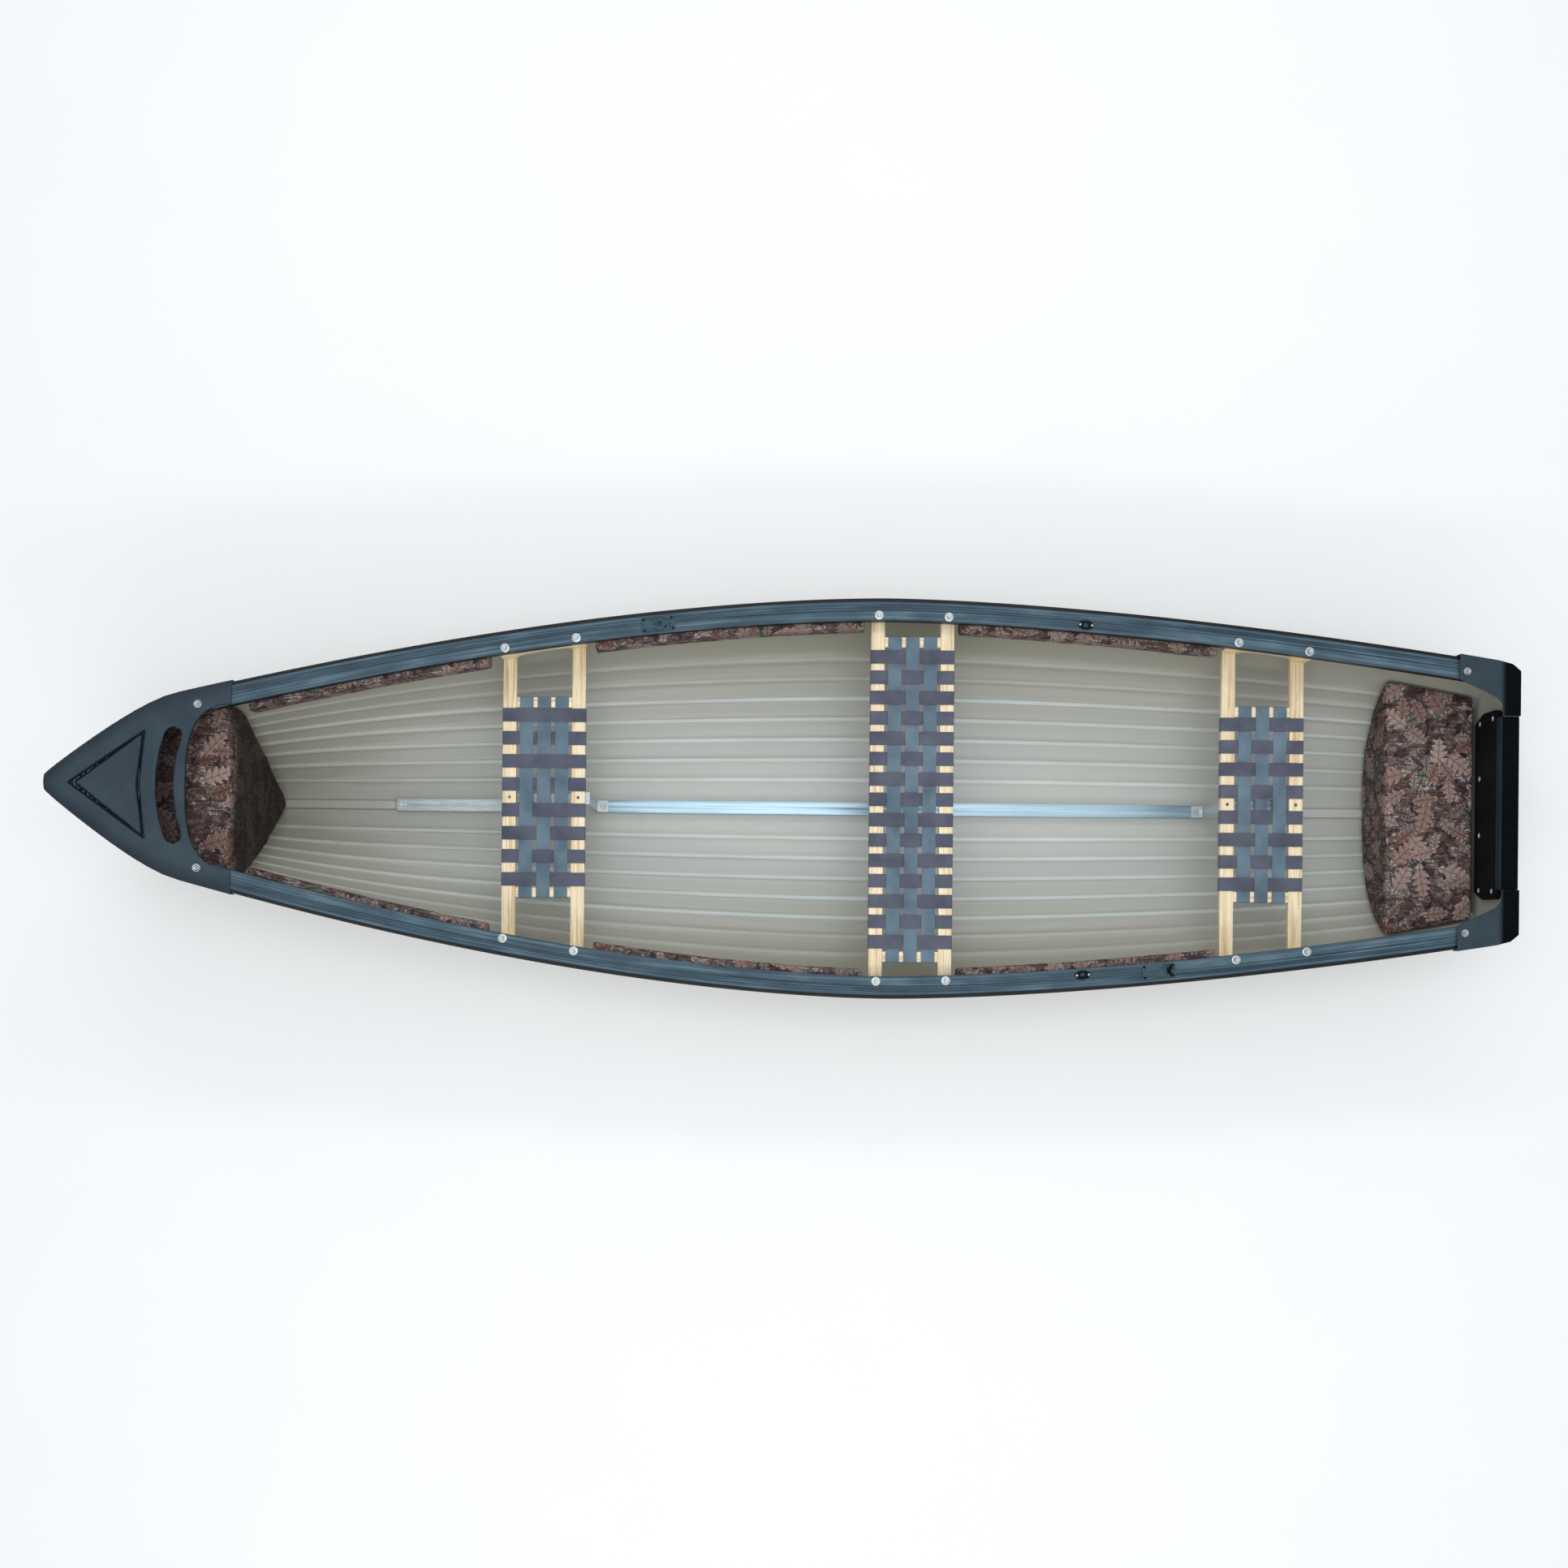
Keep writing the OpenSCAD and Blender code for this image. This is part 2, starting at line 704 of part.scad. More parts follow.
strip_steps = 10;
strip_top = gunwale_h + 1.5;
function strip_ring(x) = let (
    s = sheer(x),
    high = s - strip_top,
    low = s - strip_top - strip_h,
    face = half_beam(x) - gunwale_w - strip_proud
) [
    [x, face + 8, low],
    [x, inside_y(x, low) - foam_gap, low],
    [x, inside_y(x, (low + high) / 2) - foam_gap, (low + high) / 2],
    [x, inside_y(x, high) - foam_gap, high],
    [x, face + 6, high],
    [x, face, high - 8],
    [x, face, low + 12]
];
module foam_strip(from, to) {
    color(foam_colour)
        loft([for (i = [0:strip_steps]) strip_ring(from + (to - from) * i / strip_steps)]);
}
seat_reach = (bar_pitch + bar_w) / 2 + 30;
fore_strip = [bow_x + 493, front_seat_x - seat_reach];
mid_strip = [front_seat_x + seat_reach, mid_seat_x - seat_reach + 12];
aft_strip = [mid_seat_x + seat_reach - 12, stern_seat_x - seat_reach + 2];
module foam_strip_fore_starboard() { foam_strip(fore_strip[0], fore_strip[1]); }
module foam_strip_fore_port() { on_side(-1) foam_strip(fore_strip[0], fore_strip[1]); }
module foam_strip_mid_starboard() { foam_strip(mid_strip[0], mid_strip[1]); }
module foam_strip_mid_port() { on_side(-1) foam_strip(mid_strip[0], mid_strip[1]); }
module foam_strip_aft_starboard() { foam_strip(aft_strip[0], aft_strip[1]); }
module foam_strip_aft_port() { on_side(-1) foam_strip(aft_strip[0], aft_strip[1]); }

// ---- Seats ----

// Heights of the three seats' bar tops.
front_z = sheer(front_seat_x) - seat_drop;
mid_z = sheer(mid_seat_x + bar_pitch / 2 + bar_w / 2) - gunwale_h - 0.8;
stern_z = sheer(stern_seat_x) - seat_drop;
mid_half = half_beam(mid_seat_x) - mid_side_gap;
seat_zs = [front_z, mid_z, stern_z];
bar_end_inset = bolt_inset - 6;

// A bar's ends are cut along the side of the boat.
module seat_bar(x, z, screw) {
    fore_y = half_beam(x - bar_w / 2) - bar_end_inset;
    aft_y = half_beam(x + bar_w / 2) - bar_end_inset;
    color(wood_colour)
        difference() {
            translate([0, 0, z - bar_t])
                linear_extrude(height = bar_t)
                    polygon([
                        [x - bar_w / 2, -fore_y], [x + bar_w / 2, -aft_y],
                        [x + bar_w / 2, aft_y], [x - bar_w / 2, fore_y]
                    ]);
            for (s = [-1, 1])
                translate([x, s * bolt_y(x), z - bar_t - 1])
                    cylinder(h = bar_t + 2, r = bolt_d / 2 + bolt_play);
            if (screw)
                translate([x, 0, z - bar_t - 1]) cylinder(h = bar_t + 2, r = screw_r + screw_play);
        }
}
module seat_rails(x, z, half) {
    length = bar_pitch - bar_w - gap * 2;
    color(wood_colour)
        for (s = [-1, 1])
            translate([x - length / 2, s * (half - rail_w / 2) - rail_w / 2, z - bar_t])
                cube([length, rail_w, bar_t]);
}

// A flat strap that lies on top and folds round the wood at both ends. It runs along Y.
module strap(half, fold, thick, lift) {
    reach = half + gap;
    translate([-web_w / 2, -reach - web_t, lift]) cube([web_w, (reach + web_t) * 2, web_t]);
    for (s = [-1, 1]) {
        translate([-web_w / 2, s > 0 ? reach : -reach - web_t, -thick - gap - web_t])
            cube([web_w, web_t, thick + gap + web_t + lift + 0.1]);
        translate([-web_w / 2, s > 0 ? reach - fold : -reach, -thick - gap - web_t])
            cube([web_w, fold, web_t]);
    }
}
module straps_long(x, z, half) {
    color(strap_long_colour)
        for (k = [-1:1])
            translate([x + k * web_pitch_long, 0, z]) strap(half, rail_w - 4, bar_t, gap);
}
module straps_cross(x, z, places) {
    color(strap_cross_colour)
        for (y = places)
            translate([x, y, z])
                rotate([0, 0, 90])
                    strap((bar_pitch + bar_w) / 2, bar_w - 4, bar_t, gap * 2 + web_t);
}

mid_cross_count = 15;
mid_cross_pitch = (mid_half * 2 - rail_w * 2 - web_w - 15) / (mid_cross_count - 1);
mid_places = [for (k = [0:mid_cross_count - 1]) (k - (mid_cross_count - 1) / 2) * mid_cross_pitch];
// The outer seats leave a space at the middle, over the bracket's screws.
centre_space = 36;
function split_places(half) = let (
    count = 4,
    pitch = (half - rail_w - web_w / 2 - 2 - centre_space) / (count - 1)
) [for (s = [-1, 1], k = [0:count - 1]) s * (centre_space + pitch * k)];

module front_seat_bar_forward() { seat_bar(bar_xs[0], front_z, true); }
module front_seat_bar_aft() { seat_bar(bar_xs[1], front_z, true); }
module front_seat_end_rails() { seat_rails(front_seat_x, front_z, front_half); }
module front_seat_straps_long() { straps_long(front_seat_x, front_z, front_half); }
module front_seat_straps_cross() { straps_cross(front_seat_x, front_z, split_places(front_half)); }
module middle_seat_bar_forward() { seat_bar(bar_xs[2], mid_z, false); }
module middle_seat_bar_aft() { seat_bar(bar_xs[3], mid_z, false); }
module middle_seat_end_rails() { seat_rails(mid_seat_x, mid_z, mid_half); }
module middle_seat_straps_long() { straps_long(mid_seat_x, mid_z, mid_half); }
module middle_seat_straps_cross() { straps_cross(mid_seat_x, mid_z, mid_places); }
module stern_seat_bar_forward() { seat_bar(bar_xs[4], stern_z, true); }
module stern_seat_bar_aft() { seat_bar(bar_xs[5], stern_z, true); }
module stern_seat_end_rails() { seat_rails(stern_seat_x, stern_z, stern_half); }
module stern_seat_straps_long() { straps_long(stern_seat_x, stern_z, stern_half); }
module stern_seat_straps_cross() { straps_cross(stern_seat_x, stern_z, split_places(stern_half)); }

// A wooden truss hangs an outer seat's two bars from the gunwale. It is arched between the bolts.
truss_t = 22;
truss_foot = 46;
truss_web = 24;
module seat_truss(x, z) {
    fore_x = x - bar_pitch / 2;
    aft_x = x + bar_pitch / 2;
    yaw = atan((half_beam(aft_x) - half_beam(fore_x)) / bar_pitch);
    half = (bar_pitch + truss_foot) / 2;
    steps = 8;
    arch = bar_pitch - truss_foot;
    rise = (sheer(aft_x) - gunwale_h - truss_web - z) * 0.9;
    difference() {
        translate([x, (bolt_y(fore_x) + bolt_y(aft_x)) / 2, 0])
            rotate([0, 0, yaw])
                translate([0, truss_t / 2, 0])
                    rotate([90, 0, 0])
                        linear_extrude(height = truss_t)
                            polygon(concat(
                                [[-half, z + gap]],
                                [
                                    for (i = [0:steps])
                                        let (a = 180 * i / steps)
                                            [-cos(a) * arch / 2, z + gap + rise * pow(sin(a), 0.6)]
                                ],
                                [[half, z + gap]],
                                [
                                    for (i = [steps:-1:-steps])
                                        [half * i / steps, sheer(x + half * i / steps) - gunwale_h - 0.8]
                                ]
                            ));
        for (bx = [fore_x, aft_x])
            translate([bx, bolt_y(bx), z - 5]) cylinder(h = 150, r = bolt_d / 2 + bolt_play);
    }
}
module front_seat_truss_starboard() { color(wood_colour) seat_truss(front_seat_x, front_z); }
module front_seat_truss_port() { color(wood_colour) on_side(-1) seat_truss(front_seat_x, front_z); }
module stern_seat_truss_starboard() { color(wood_colour) seat_truss(stern_seat_x, stern_z); }
module stern_seat_truss_port() { color(wood_colour) on_side(-1) seat_truss(stern_seat_x, stern_z); }

// ---- Bolts of the seats ----

washer_r = 12.5;
washer_t = 1.5;
head_r = 5.5;
head_h = 3.2;
nut_r = 5.6;
nut_h = 5;
// The level washers clear the gunwale's slope.
function washer_z(x) = sheer(x) + washer_r * abs(sheer_slope(x)) + 0.2;
function seat_z(i) = seat_zs[floor(i / 2)];
module at_seat_bolts() {
    for (i = [0:len(bar_xs) - 1], s = [-1, 1])
        translate([bar_xs[i], s * bolt_y(bar_xs[i]), 0]) {
            $bolt_top = washer_z(bar_xs[i]) + washer_t;
            $bolt_low = seat_z(i) - bar_t;
            children();
        }
}
module seat_bolts() {
    color(steel_colour)
        at_seat_bolts() {
            translate([0, 0, $bolt_low - nut_h - washer_t - 3])
                cylinder(h = $bolt_top - $bolt_low + nut_h + washer_t + 4, r = bolt_d / 2);
            translate([0, 0, $bolt_top]) cylinder(h = head_h, r = head_r);
        }
}
module seat_washers() {
    color(steel_colour)
        at_seat_bolts() {
            difference() {
                translate([0, 0, $bolt_top - washer_t]) cylinder(h = washer_t, r = washer_r);
                translate([0, 0, $bolt_top - washer_t - 1])
                    cylinder(h = washer_t + 2, r = bolt_d / 2 + 0.2);
            }
        }
}
module seat_nuts() {
    color(steel_colour)
        at_seat_bolts()
            difference() {
                translate([0, 0, $bolt_low - nut_h - washer_t]) {
                    cylinder(h = nut_h, r = nut_r, $fn = 6);
                    translate([0, 0, nut_h]) cylinder(h = washer_t, r = 8);
                }
                translate([0, 0, $bolt_low - nut_h - washer_t - 1])
                    cylinder(h = nut_h + washer_t + 2, r = bolt_d / 2 + 0.05);
            }
}
module bar_screws() {
    color(steel_colour)
        for (i = [0, 1, 4, 5])
            translate([bar_xs[i], 0, seat_z(i)]) {
                cylinder(h = 2, r = 4.5);
                translate([0, 0, -bar_t - bracket_t - 2]) cylinder(h = bar_t + bracket_t + 2, r = screw_r);
            }
}

// Bolts that hold the deck's arms and the corner caps down on the gunwales.
module corner_bolt(x, stack) {
    for (side = [-1, 1])
        on_side(side)
            on_gunwale(x, corner_bolt_inset) {
                translate([0, 0, stack]) cylinder(h = washer_t, r = 10);
                translate([0, 0, stack + washer_t]) cylinder(h = head_h, r = head_r);
                translate([0, 0, -gunwale_h - 8]) cylinder(h = gunwale_h + 8 + stack, r = bolt_d / 2);
                translate([0, 0, -gunwale_h - nut_h - 0.6]) cylinder(h = nut_h, r = nut_r, $fn = 6);
            }
}
module deck_bolts() { color(steel_colour) corner_bolt(deck_bolt_x, gap + deck_t + 0.6); }
module corner_cap_bolts() { color(steel_colour) corner_bolt(cap_bolt_x, cap_t + 8.5); }

// ---- Keel tube and its brackets ----

bracket_t = 2;
bracket_w = 34;
tube_z = skin_t + gap;
tube_fore_end = front_seat_x + 66;
tube_main_fore = front_seat_x + 124;
tube_main_aft = stern_seat_x - 95;
rivet_main_xs = [tube_main_fore + 18, mid_seat_x - 90, tube_main_aft - 18];
rivet_fore_xs = [tube_fore_x + 24, tube_fore_end - 24];

module tube(from, to, rivets) {
    color(alloy_colour)
        difference() {
            translate([from, -tube_w / 2, tube_z]) cube([to - from, tube_w, tube_h]);
            translate([from - 1, -tube_w / 2 + tube_wall, tube_z + tube_wall])
                cube([to - from + 2, tube_w - tube_wall * 2, tube_h - tube_wall * 2]);
            for (x = rivets)
                translate([x, 0, tube_z + tube_h / 2]) cylinder(h = tube_h, r = 2.6);
        }
}
module keel_tube_forward() { tube(tube_fore_x, tube_fore_end, rivet_fore_xs); }
module keel_tube_main() { tube(tube_main_fore, tube_main_aft, rivet_main_xs); }
module tube_rivets() {
    top = tube_z + tube_h;
    color(steel_colour) {
        for (x = concat([rivet_main_xs[1]], rivet_fore_xs))
            translate([x, 0, top]) {
                cylinder(h = 1.6, r = 4.5);
                translate([0, 0, -tube_wall - 1]) cylinder(h = tube_wall + 1, r = 2.4);
            }
        for (x = [rivet_main_xs[0], rivet_main_xs[2]])
            translate([x, 0, top + bracket_t + gap]) {
                cylinder(h = 1.6, r = 4.5);
                translate([0, 0, -tube_wall - bracket_t - 1])
                    cylinder(h = tube_wall + bracket_t + 1, r = 2.4);
            }
    }
}

// A bent strip: along under both bars of a seat, down, and onto the end of the main tube.
module keel_bracket(x, z, drop_x, tube_dir, rivet_x, screw_xs) {
    under = z - bar_t;
    low = tube_z + tube_h + gap;
    reach = (bar_pitch + bar_w) / 2;
    from = min(x - reach, drop_x);
    to = max(x + reach, drop_x + bracket_t);
    color(alloy_colour)
        difference() {
            translate([0, -bracket_w / 2, 0]) {
                translate([from, 0, under - bracket_t]) cube([to - from, bracket_w, bracket_t]);
                translate([drop_x, 0, low]) cube([bracket_t, bracket_w, under - low - bracket_t / 2]);
                translate([tube_dir > 0 ? drop_x : drop_x - 34 + bracket_t, 0, low])
                    cube([34, bracket_w, bracket_t]);
            }
            for (bx = screw_xs)
                translate([bx, 0, under - 10]) cylinder(h = 20, r = screw_r + screw_play);
            translate([rivet_x, 0, low - 5]) cylinder(h = 12, r = 2.6);
        }
}
module keel_bracket_front() {
    keel_bracket(
        front_seat_x, front_z, tube_main_fore + 1, 1, rivet_main_xs[0], [bar_xs[0], bar_xs[1]]
    );
}
module keel_bracket_stern() {
    keel_bracket(
        stern_seat_x, stern_z, tube_main_aft - 3, -1, rivet_main_xs[2], [bar_xs[4], bar_xs[5]]
    );
}

// ---- Oarlock sockets ----

socket_l = 46;
socket_w = 26;
socket_t = 3;
socket_depth = 28;
oarlock_screw_x = 16.5;
module oarlock_socket() {
    // The plate is two arcs that meet in a point at each end.
    bend = (pow(socket_l / 2, 2) + pow(socket_w / 2, 2)) / socket_w;
    on_gunwale(oarlock_x, oarlock_inset, gap)
        difference() {
            union() {
                linear_extrude(height = socket_t)
                    intersection() {
                        translate([0, bend - socket_w / 2]) circle(r = bend, $fn = 120);
                        translate([0, socket_w / 2 - bend]) circle(r = bend, $fn = 120);
                        square([socket_l - 4, socket_w + 2], center = true);
                    }
                translate([0, 0, -socket_depth]) cylinder(h = socket_depth + 1, r = socket_r);
            }
            translate([0, 0, -socket_depth - 1])
                cylinder(h = socket_depth + socket_t + 2, r = oarlock_d / 2);
            for (s = [-1, 1])
                translate([s * oarlock_screw_x, 0, -1])
                    cylinder(h = socket_t + 2, r = screw_r + screw_play);
        }
}
module oarlock_socket_starboard() { color(black_colour) oarlock_socket(); }
module oarlock_socket_port() { color(black_colour) on_side(-1) oarlock_socket(); }
module oarlock_screws() {
    color(steel_colour)
        for (side = [-1, 1], s = [-1, 1])
            on_side(side)
                on_gunwale(oarlock_x, oarlock_inset, gap + socket_t)
                    translate([s * oarlock_screw_x, 0, 0]) {
                        cylinder(h = 1.5, r = 3);
                        translate([0, 0, -12]) cylinder(h = 12, r = screw_r);
                    }
}

// ---- Folding rod clips ----

clip_l = 90;
clip_w = 41;
clip_plate_t = 3;
clip_screw_x = 39;
clip_screw_y = 15;
clip_r = 17;
clip_mouth = 11;
clip_lift = 0.9;
clip_t = 5;
clip_hinge_x = 26;
clip_hinge_z = clip_plate_t + gap + 4.2;
knuckle_r = 4;
knuckle_w = 14;
lug_w = 5;
pin_play = 0.06;
module clip_base(x) {
    on_gunwale(x, clip_inset, clip_lift)
        difference() {
            union() {
                linear_extrude(height = clip_plate_t) {
                    square([clip_l - 12, clip_w], center = true);
                    square([clip_l, clip_w - 12], center = true);
                    for (sx = [-1, 1], sy = [-1, 1])
                        translate([sx * (clip_l / 2 - 6), sy * (clip_w / 2 - 6)]) circle(r = 6);
                }
                for (s = [-1, 1])
                    translate([clip_hinge_x, s * (knuckle_w / 2 + gap + lug_w / 2), 0]) {
                        translate([0, lug_w / 2, clip_hinge_z])
                            rotate([90, 0, 0]) cylinder(h = lug_w, r = knuckle_r);
                        translate([-knuckle_r, -lug_w / 2, 0.5])
                            cube([knuckle_r * 2, lug_w, clip_hinge_z - 0.5]);
                    }
            }
            translate([clip_hinge_x, clip_w / 2, clip_hinge_z])
                rotate([90, 0, 0]) cylinder(h = clip_w, r = clip_pin_d / 2 + pin_play);
            for (sx = [-1, 1], sy = [-1, 1])
                translate([sx * clip_screw_x, sy * clip_screw_y, -1])
                    cylinder(h = clip_plate_t + 2, r = screw_r + screw_play);
        }
}
// The clip's jaw lies forward of its hinge when it is folded flat.
module clip_jaw() {
    low = clip_hinge_z - clip_t / 2;
    reach = clip_hinge_x - 2;
    difference() {
        union() {
            translate([-reach, 0, -clip_t / 2]) cylinder(h = clip_t, r = clip_r);
            translate([-reach, -knuckle_w / 2, -clip_t / 2]) cube([reach, knuckle_w, clip_t]);
            translate([0, knuckle_w / 2, 0]) rotate([90, 0, 0]) cylinder(h = knuckle_w, r = knuckle_r);
        }
        translate([-reach, 0, -clip_t]) cylinder(h = clip_t * 2, r = clip_mouth / 2 + 2);
        translate([-reach - clip_r - 2, -clip_mouth / 2, -clip_t])
            cube([clip_r + 2, clip_mouth, clip_t * 2]);
        translate([0, knuckle_w, 0])
            rotate([90, 0, 0]) cylinder(h = knuckle_w * 2, r = clip_pin_d / 2 + pin_play);
    }
}
module clip_at(x, swing) {
    on_gunwale(x, clip_inset, clip_lift)
        translate([clip_hinge_x, 0, clip_hinge_z]) rotate([0, swing, 0]) clip_jaw();
}
module clip_pin(x) {
    color(steel_colour)
        on_gunwale(x, clip_inset, clip_lift)
            translate([clip_hinge_x, knuckle_w / 2 + gap + lug_w + 1, clip_hinge_z])
                rotate([90, 0, 0])
                    cylinder(h = knuckle_w + (gap + lug_w + 1) * 2, r = clip_pin_d / 2);
}
module clip_base_starboard() { color(black_colour) clip_base(starboard_clip_x); }
module clip_base_port() { color(black_colour) on_side(-1) clip_base(port_clip_x); }
module clip_starboard() { color(black_colour) clip_at(starboard_clip_x, 0); }
module clip_port() { color(black_colour) on_side(-1) clip_at(port_clip_x, 90); }
module clip_pin_starboard() { clip_pin(starboard_clip_x); }
module clip_pin_port() { on_side(-1) clip_pin(port_clip_x); }
module clip_base_screws() {
    color(steel_colour)
        for (place = [[starboard_clip_x, 1], [port_clip_x, -1]], sx = [-1, 1], sy = [-1, 1])
            on_side(place[1])
                on_gunwale(place[0], clip_inset, clip_lift + clip_plate_t)
                    translate([sx * clip_screw_x, sy * clip_screw_y, 0]) {
                        cylinder(h = 1.5, r = 3);
                        translate([0, 0, -8]) cylinder(h = 8, r = screw_r);
                    }
}

hull_shell();
bow_deck();
gunwale_starboard();
gunwale_port();
transom_cap();
stern_corner_cap_starboard();
stern_corner_cap_port();
transom_board();
bow_foam_block();
stern_foam_block();
foam_strip_fore_starboard();
foam_strip_fore_port();
foam_strip_mid_starboard();
foam_strip_mid_port();
foam_strip_aft_starboard();
foam_strip_aft_port();
keel_tube_forward();
keel_tube_main();
keel_bracket_front();
keel_bracket_stern();
front_seat_bar_forward();
front_seat_bar_aft();
front_seat_end_rails();
front_seat_straps_long();
front_seat_straps_cross();
middle_seat_bar_forward();
middle_seat_bar_aft();
middle_seat_end_rails();
middle_seat_straps_long();
middle_seat_straps_cross();
stern_seat_bar_forward();
stern_seat_bar_aft();
stern_seat_end_rails();
stern_seat_straps_long();
stern_seat_straps_cross();
front_seat_truss_starboard();
front_seat_truss_port();
stern_seat_truss_starboard();
stern_seat_truss_port();
seat_bolts();
seat_washers();
seat_nuts();
bar_screws();
deck_bolts();
corner_cap_bolts();
transom_screws();
tube_rivets();
oarlock_socket_starboard();
oarlock_socket_port();
oarlock_screws();
clip_base_starboard();
clip_base_port();
clip_starboard();
clip_port();
clip_pin_starboard();
clip_pin_port();
clip_base_screws();
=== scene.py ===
# %% [markdown]
# # An open square-stern canoe
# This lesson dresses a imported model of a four-metre canoe. The frame brings in the plain solids,
# which say where everything is. Each visible surface is then made or finished here: the moulded
# hull with its flutes, the grooved gunwales, the bow deck, the foam in its leaf print, the ash
# seats with their woven webbing, and the fasteners. All sizes are in metres, +X runs aft, +Y is
# starboard and +Z is up.

# %% Load the frame
import json
import math

import bpy
import numpy as np
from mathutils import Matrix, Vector

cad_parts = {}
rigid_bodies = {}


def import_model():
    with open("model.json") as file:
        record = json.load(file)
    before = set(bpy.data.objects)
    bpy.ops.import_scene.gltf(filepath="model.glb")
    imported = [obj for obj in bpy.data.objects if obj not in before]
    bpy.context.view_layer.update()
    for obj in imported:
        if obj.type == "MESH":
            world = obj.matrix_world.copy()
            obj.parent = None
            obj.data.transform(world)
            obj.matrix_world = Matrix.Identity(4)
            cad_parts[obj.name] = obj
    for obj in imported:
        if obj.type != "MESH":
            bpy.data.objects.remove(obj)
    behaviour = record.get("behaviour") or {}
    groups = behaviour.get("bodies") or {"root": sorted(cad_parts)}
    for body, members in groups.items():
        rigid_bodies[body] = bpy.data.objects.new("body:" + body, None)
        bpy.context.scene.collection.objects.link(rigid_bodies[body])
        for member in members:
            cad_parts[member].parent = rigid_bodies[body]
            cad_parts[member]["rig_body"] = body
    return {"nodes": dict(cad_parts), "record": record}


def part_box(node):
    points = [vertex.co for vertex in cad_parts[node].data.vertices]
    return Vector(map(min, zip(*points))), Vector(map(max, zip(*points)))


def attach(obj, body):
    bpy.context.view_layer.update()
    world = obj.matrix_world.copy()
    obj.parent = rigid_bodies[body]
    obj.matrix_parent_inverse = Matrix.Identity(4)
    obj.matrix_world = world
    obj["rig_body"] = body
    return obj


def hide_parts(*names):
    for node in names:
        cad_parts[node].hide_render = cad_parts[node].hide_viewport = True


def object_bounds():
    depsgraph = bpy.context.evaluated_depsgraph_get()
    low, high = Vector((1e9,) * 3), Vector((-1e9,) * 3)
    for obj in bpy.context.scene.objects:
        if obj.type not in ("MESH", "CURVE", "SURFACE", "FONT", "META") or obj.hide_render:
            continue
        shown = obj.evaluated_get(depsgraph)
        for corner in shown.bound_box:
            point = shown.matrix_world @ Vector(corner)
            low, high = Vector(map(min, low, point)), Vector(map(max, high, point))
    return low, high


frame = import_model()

nodes = frame["nodes"]
cad_low, cad_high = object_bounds()
print("solids:", len(nodes))
print("from", [round(v, 3) for v in cad_low], "to", [round(v, 3) for v in cad_high])

# %% [markdown]
# ## The camera
# The view is straight down, as from a ladder beside the boat. The camera stands a little nearer
# to the bow and well to the port side, so the starboard gunwale shows its inner face. Shifting
# the lens frames the boat without tilting the camera, which would make the boat look tapered.

# %% The camera
bpy.ops.object.camera_add(location=(-0.152, -0.431, 4.865), rotation=(0, 0, 0.0094))
camera = bpy.context.object
camera.data.sensor_width = 36
camera.data.lens = 37.45
camera.data.shift_x = 0.0274
camera.data.shift_y = 0.1077
bpy.context.scene.camera = camera
bpy.context.scene.view_settings.view_transform = "Standard"
print("camera", [round(v, 3) for v in camera.location], "lens", camera.data.lens)

# %% [markdown]
# ## Helpers for making pieces
# An operator acts on whatever is selected, so every step starts by selecting one piece alone.
# The helpers below pick a piece, clean its mesh, apply a modifier, smooth its shading, hand it
# to the frame and join several meshes into one.


# %% Helpers for making pieces
def pick(piece):
    """Selects one piece alone and makes it active."""
    bpy.ops.object.select_all(action="DESELECT")
    piece.select_set(True)
    bpy.context.view_layer.objects.active = piece
    return piece


def clean(piece, merge=1e-6, fill=False, dissolve=0.0):
    """Merges doubles, may dissolve flat edges and fill open ends, and turns all faces outwards."""
    pick(piece)
    bpy.ops.object.mode_set(mode="EDIT")
    bpy.ops.mesh.select_mode(type="VERT")
    bpy.ops.mesh.select_all(action="SELECT")
    bpy.ops.mesh.remove_doubles(threshold=merge)
    if dissolve:
        bpy.ops.mesh.dissolve_limited(angle_limit=math.radians(dissolve))
    if fill:
        bpy.ops.mesh.select_all(action="SELECT")
        bpy.ops.mesh.fill_holes(sides=0)
    bpy.ops.mesh.select_all(action="SELECT")
    bpy.ops.mesh.normals_make_consistent(inside=False)
    bpy.ops.object.mode_set(mode="OBJECT")
    return piece


def modify(piece, kind, **settings):
    """Adds one modifier and applies it."""
    pick(piece)
    modifier = piece.modifiers.new(kind.title(), kind)
    for name, value in settings.items():
        setattr(modifier, name, value)
    bpy.ops.object.modifier_apply(modifier=modifier.name)
    return piece


def smooth(piece, angle=35):
    """Shades a piece smooth except across edges sharper than the angle."""
    pick(piece)
    bpy.ops.object.shade_smooth_by_angle(angle=math.radians(angle))
    return piece


def install(piece, slot, *stands_for, body="hull"):
    """Hands a finished piece to the frame: its body and the solids it stands for. The slot is not used."""
    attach(piece, body)
    if stands_for:
        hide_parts(*stands_for)
    print(piece.name, "faces:", len(piece.data.polygons))
    return piece


def join(name, parts):
    """Several meshes as one piece."""
    pick(parts[0])
    for part in parts:
        part.select_set(True)
    if len(parts) > 1:
        bpy.ops.object.join()
    parts[0].name = name
    parts[0].data.name = name
    return parts[0]


# %% [markdown]
# ## Skins and lofts
# Most of a boat is a surface that changes slowly along its length. A grid primitive has the right
# faces for that from the start: one row of points for each station. Each row is then laid on the
# section of the boat there. A loft is the same thing closed into a tube.


# %% Skins and lofts
def skin(name, rings):
    """A grid laid through rows of points."""
    rings = np.asarray(rings, float)
    rows, columns = rings.shape[:2]
    bpy.ops.mesh.primitive_grid_add(x_subdivisions=columns - 1, y_subdivisions=rows - 1, size=1)
    piece = bpy.context.object
    piece.name = name
    piece.data.name = name
    piece.data.vertices.foreach_set("co", rings.reshape(-1))
    piece.data.update()
    return piece


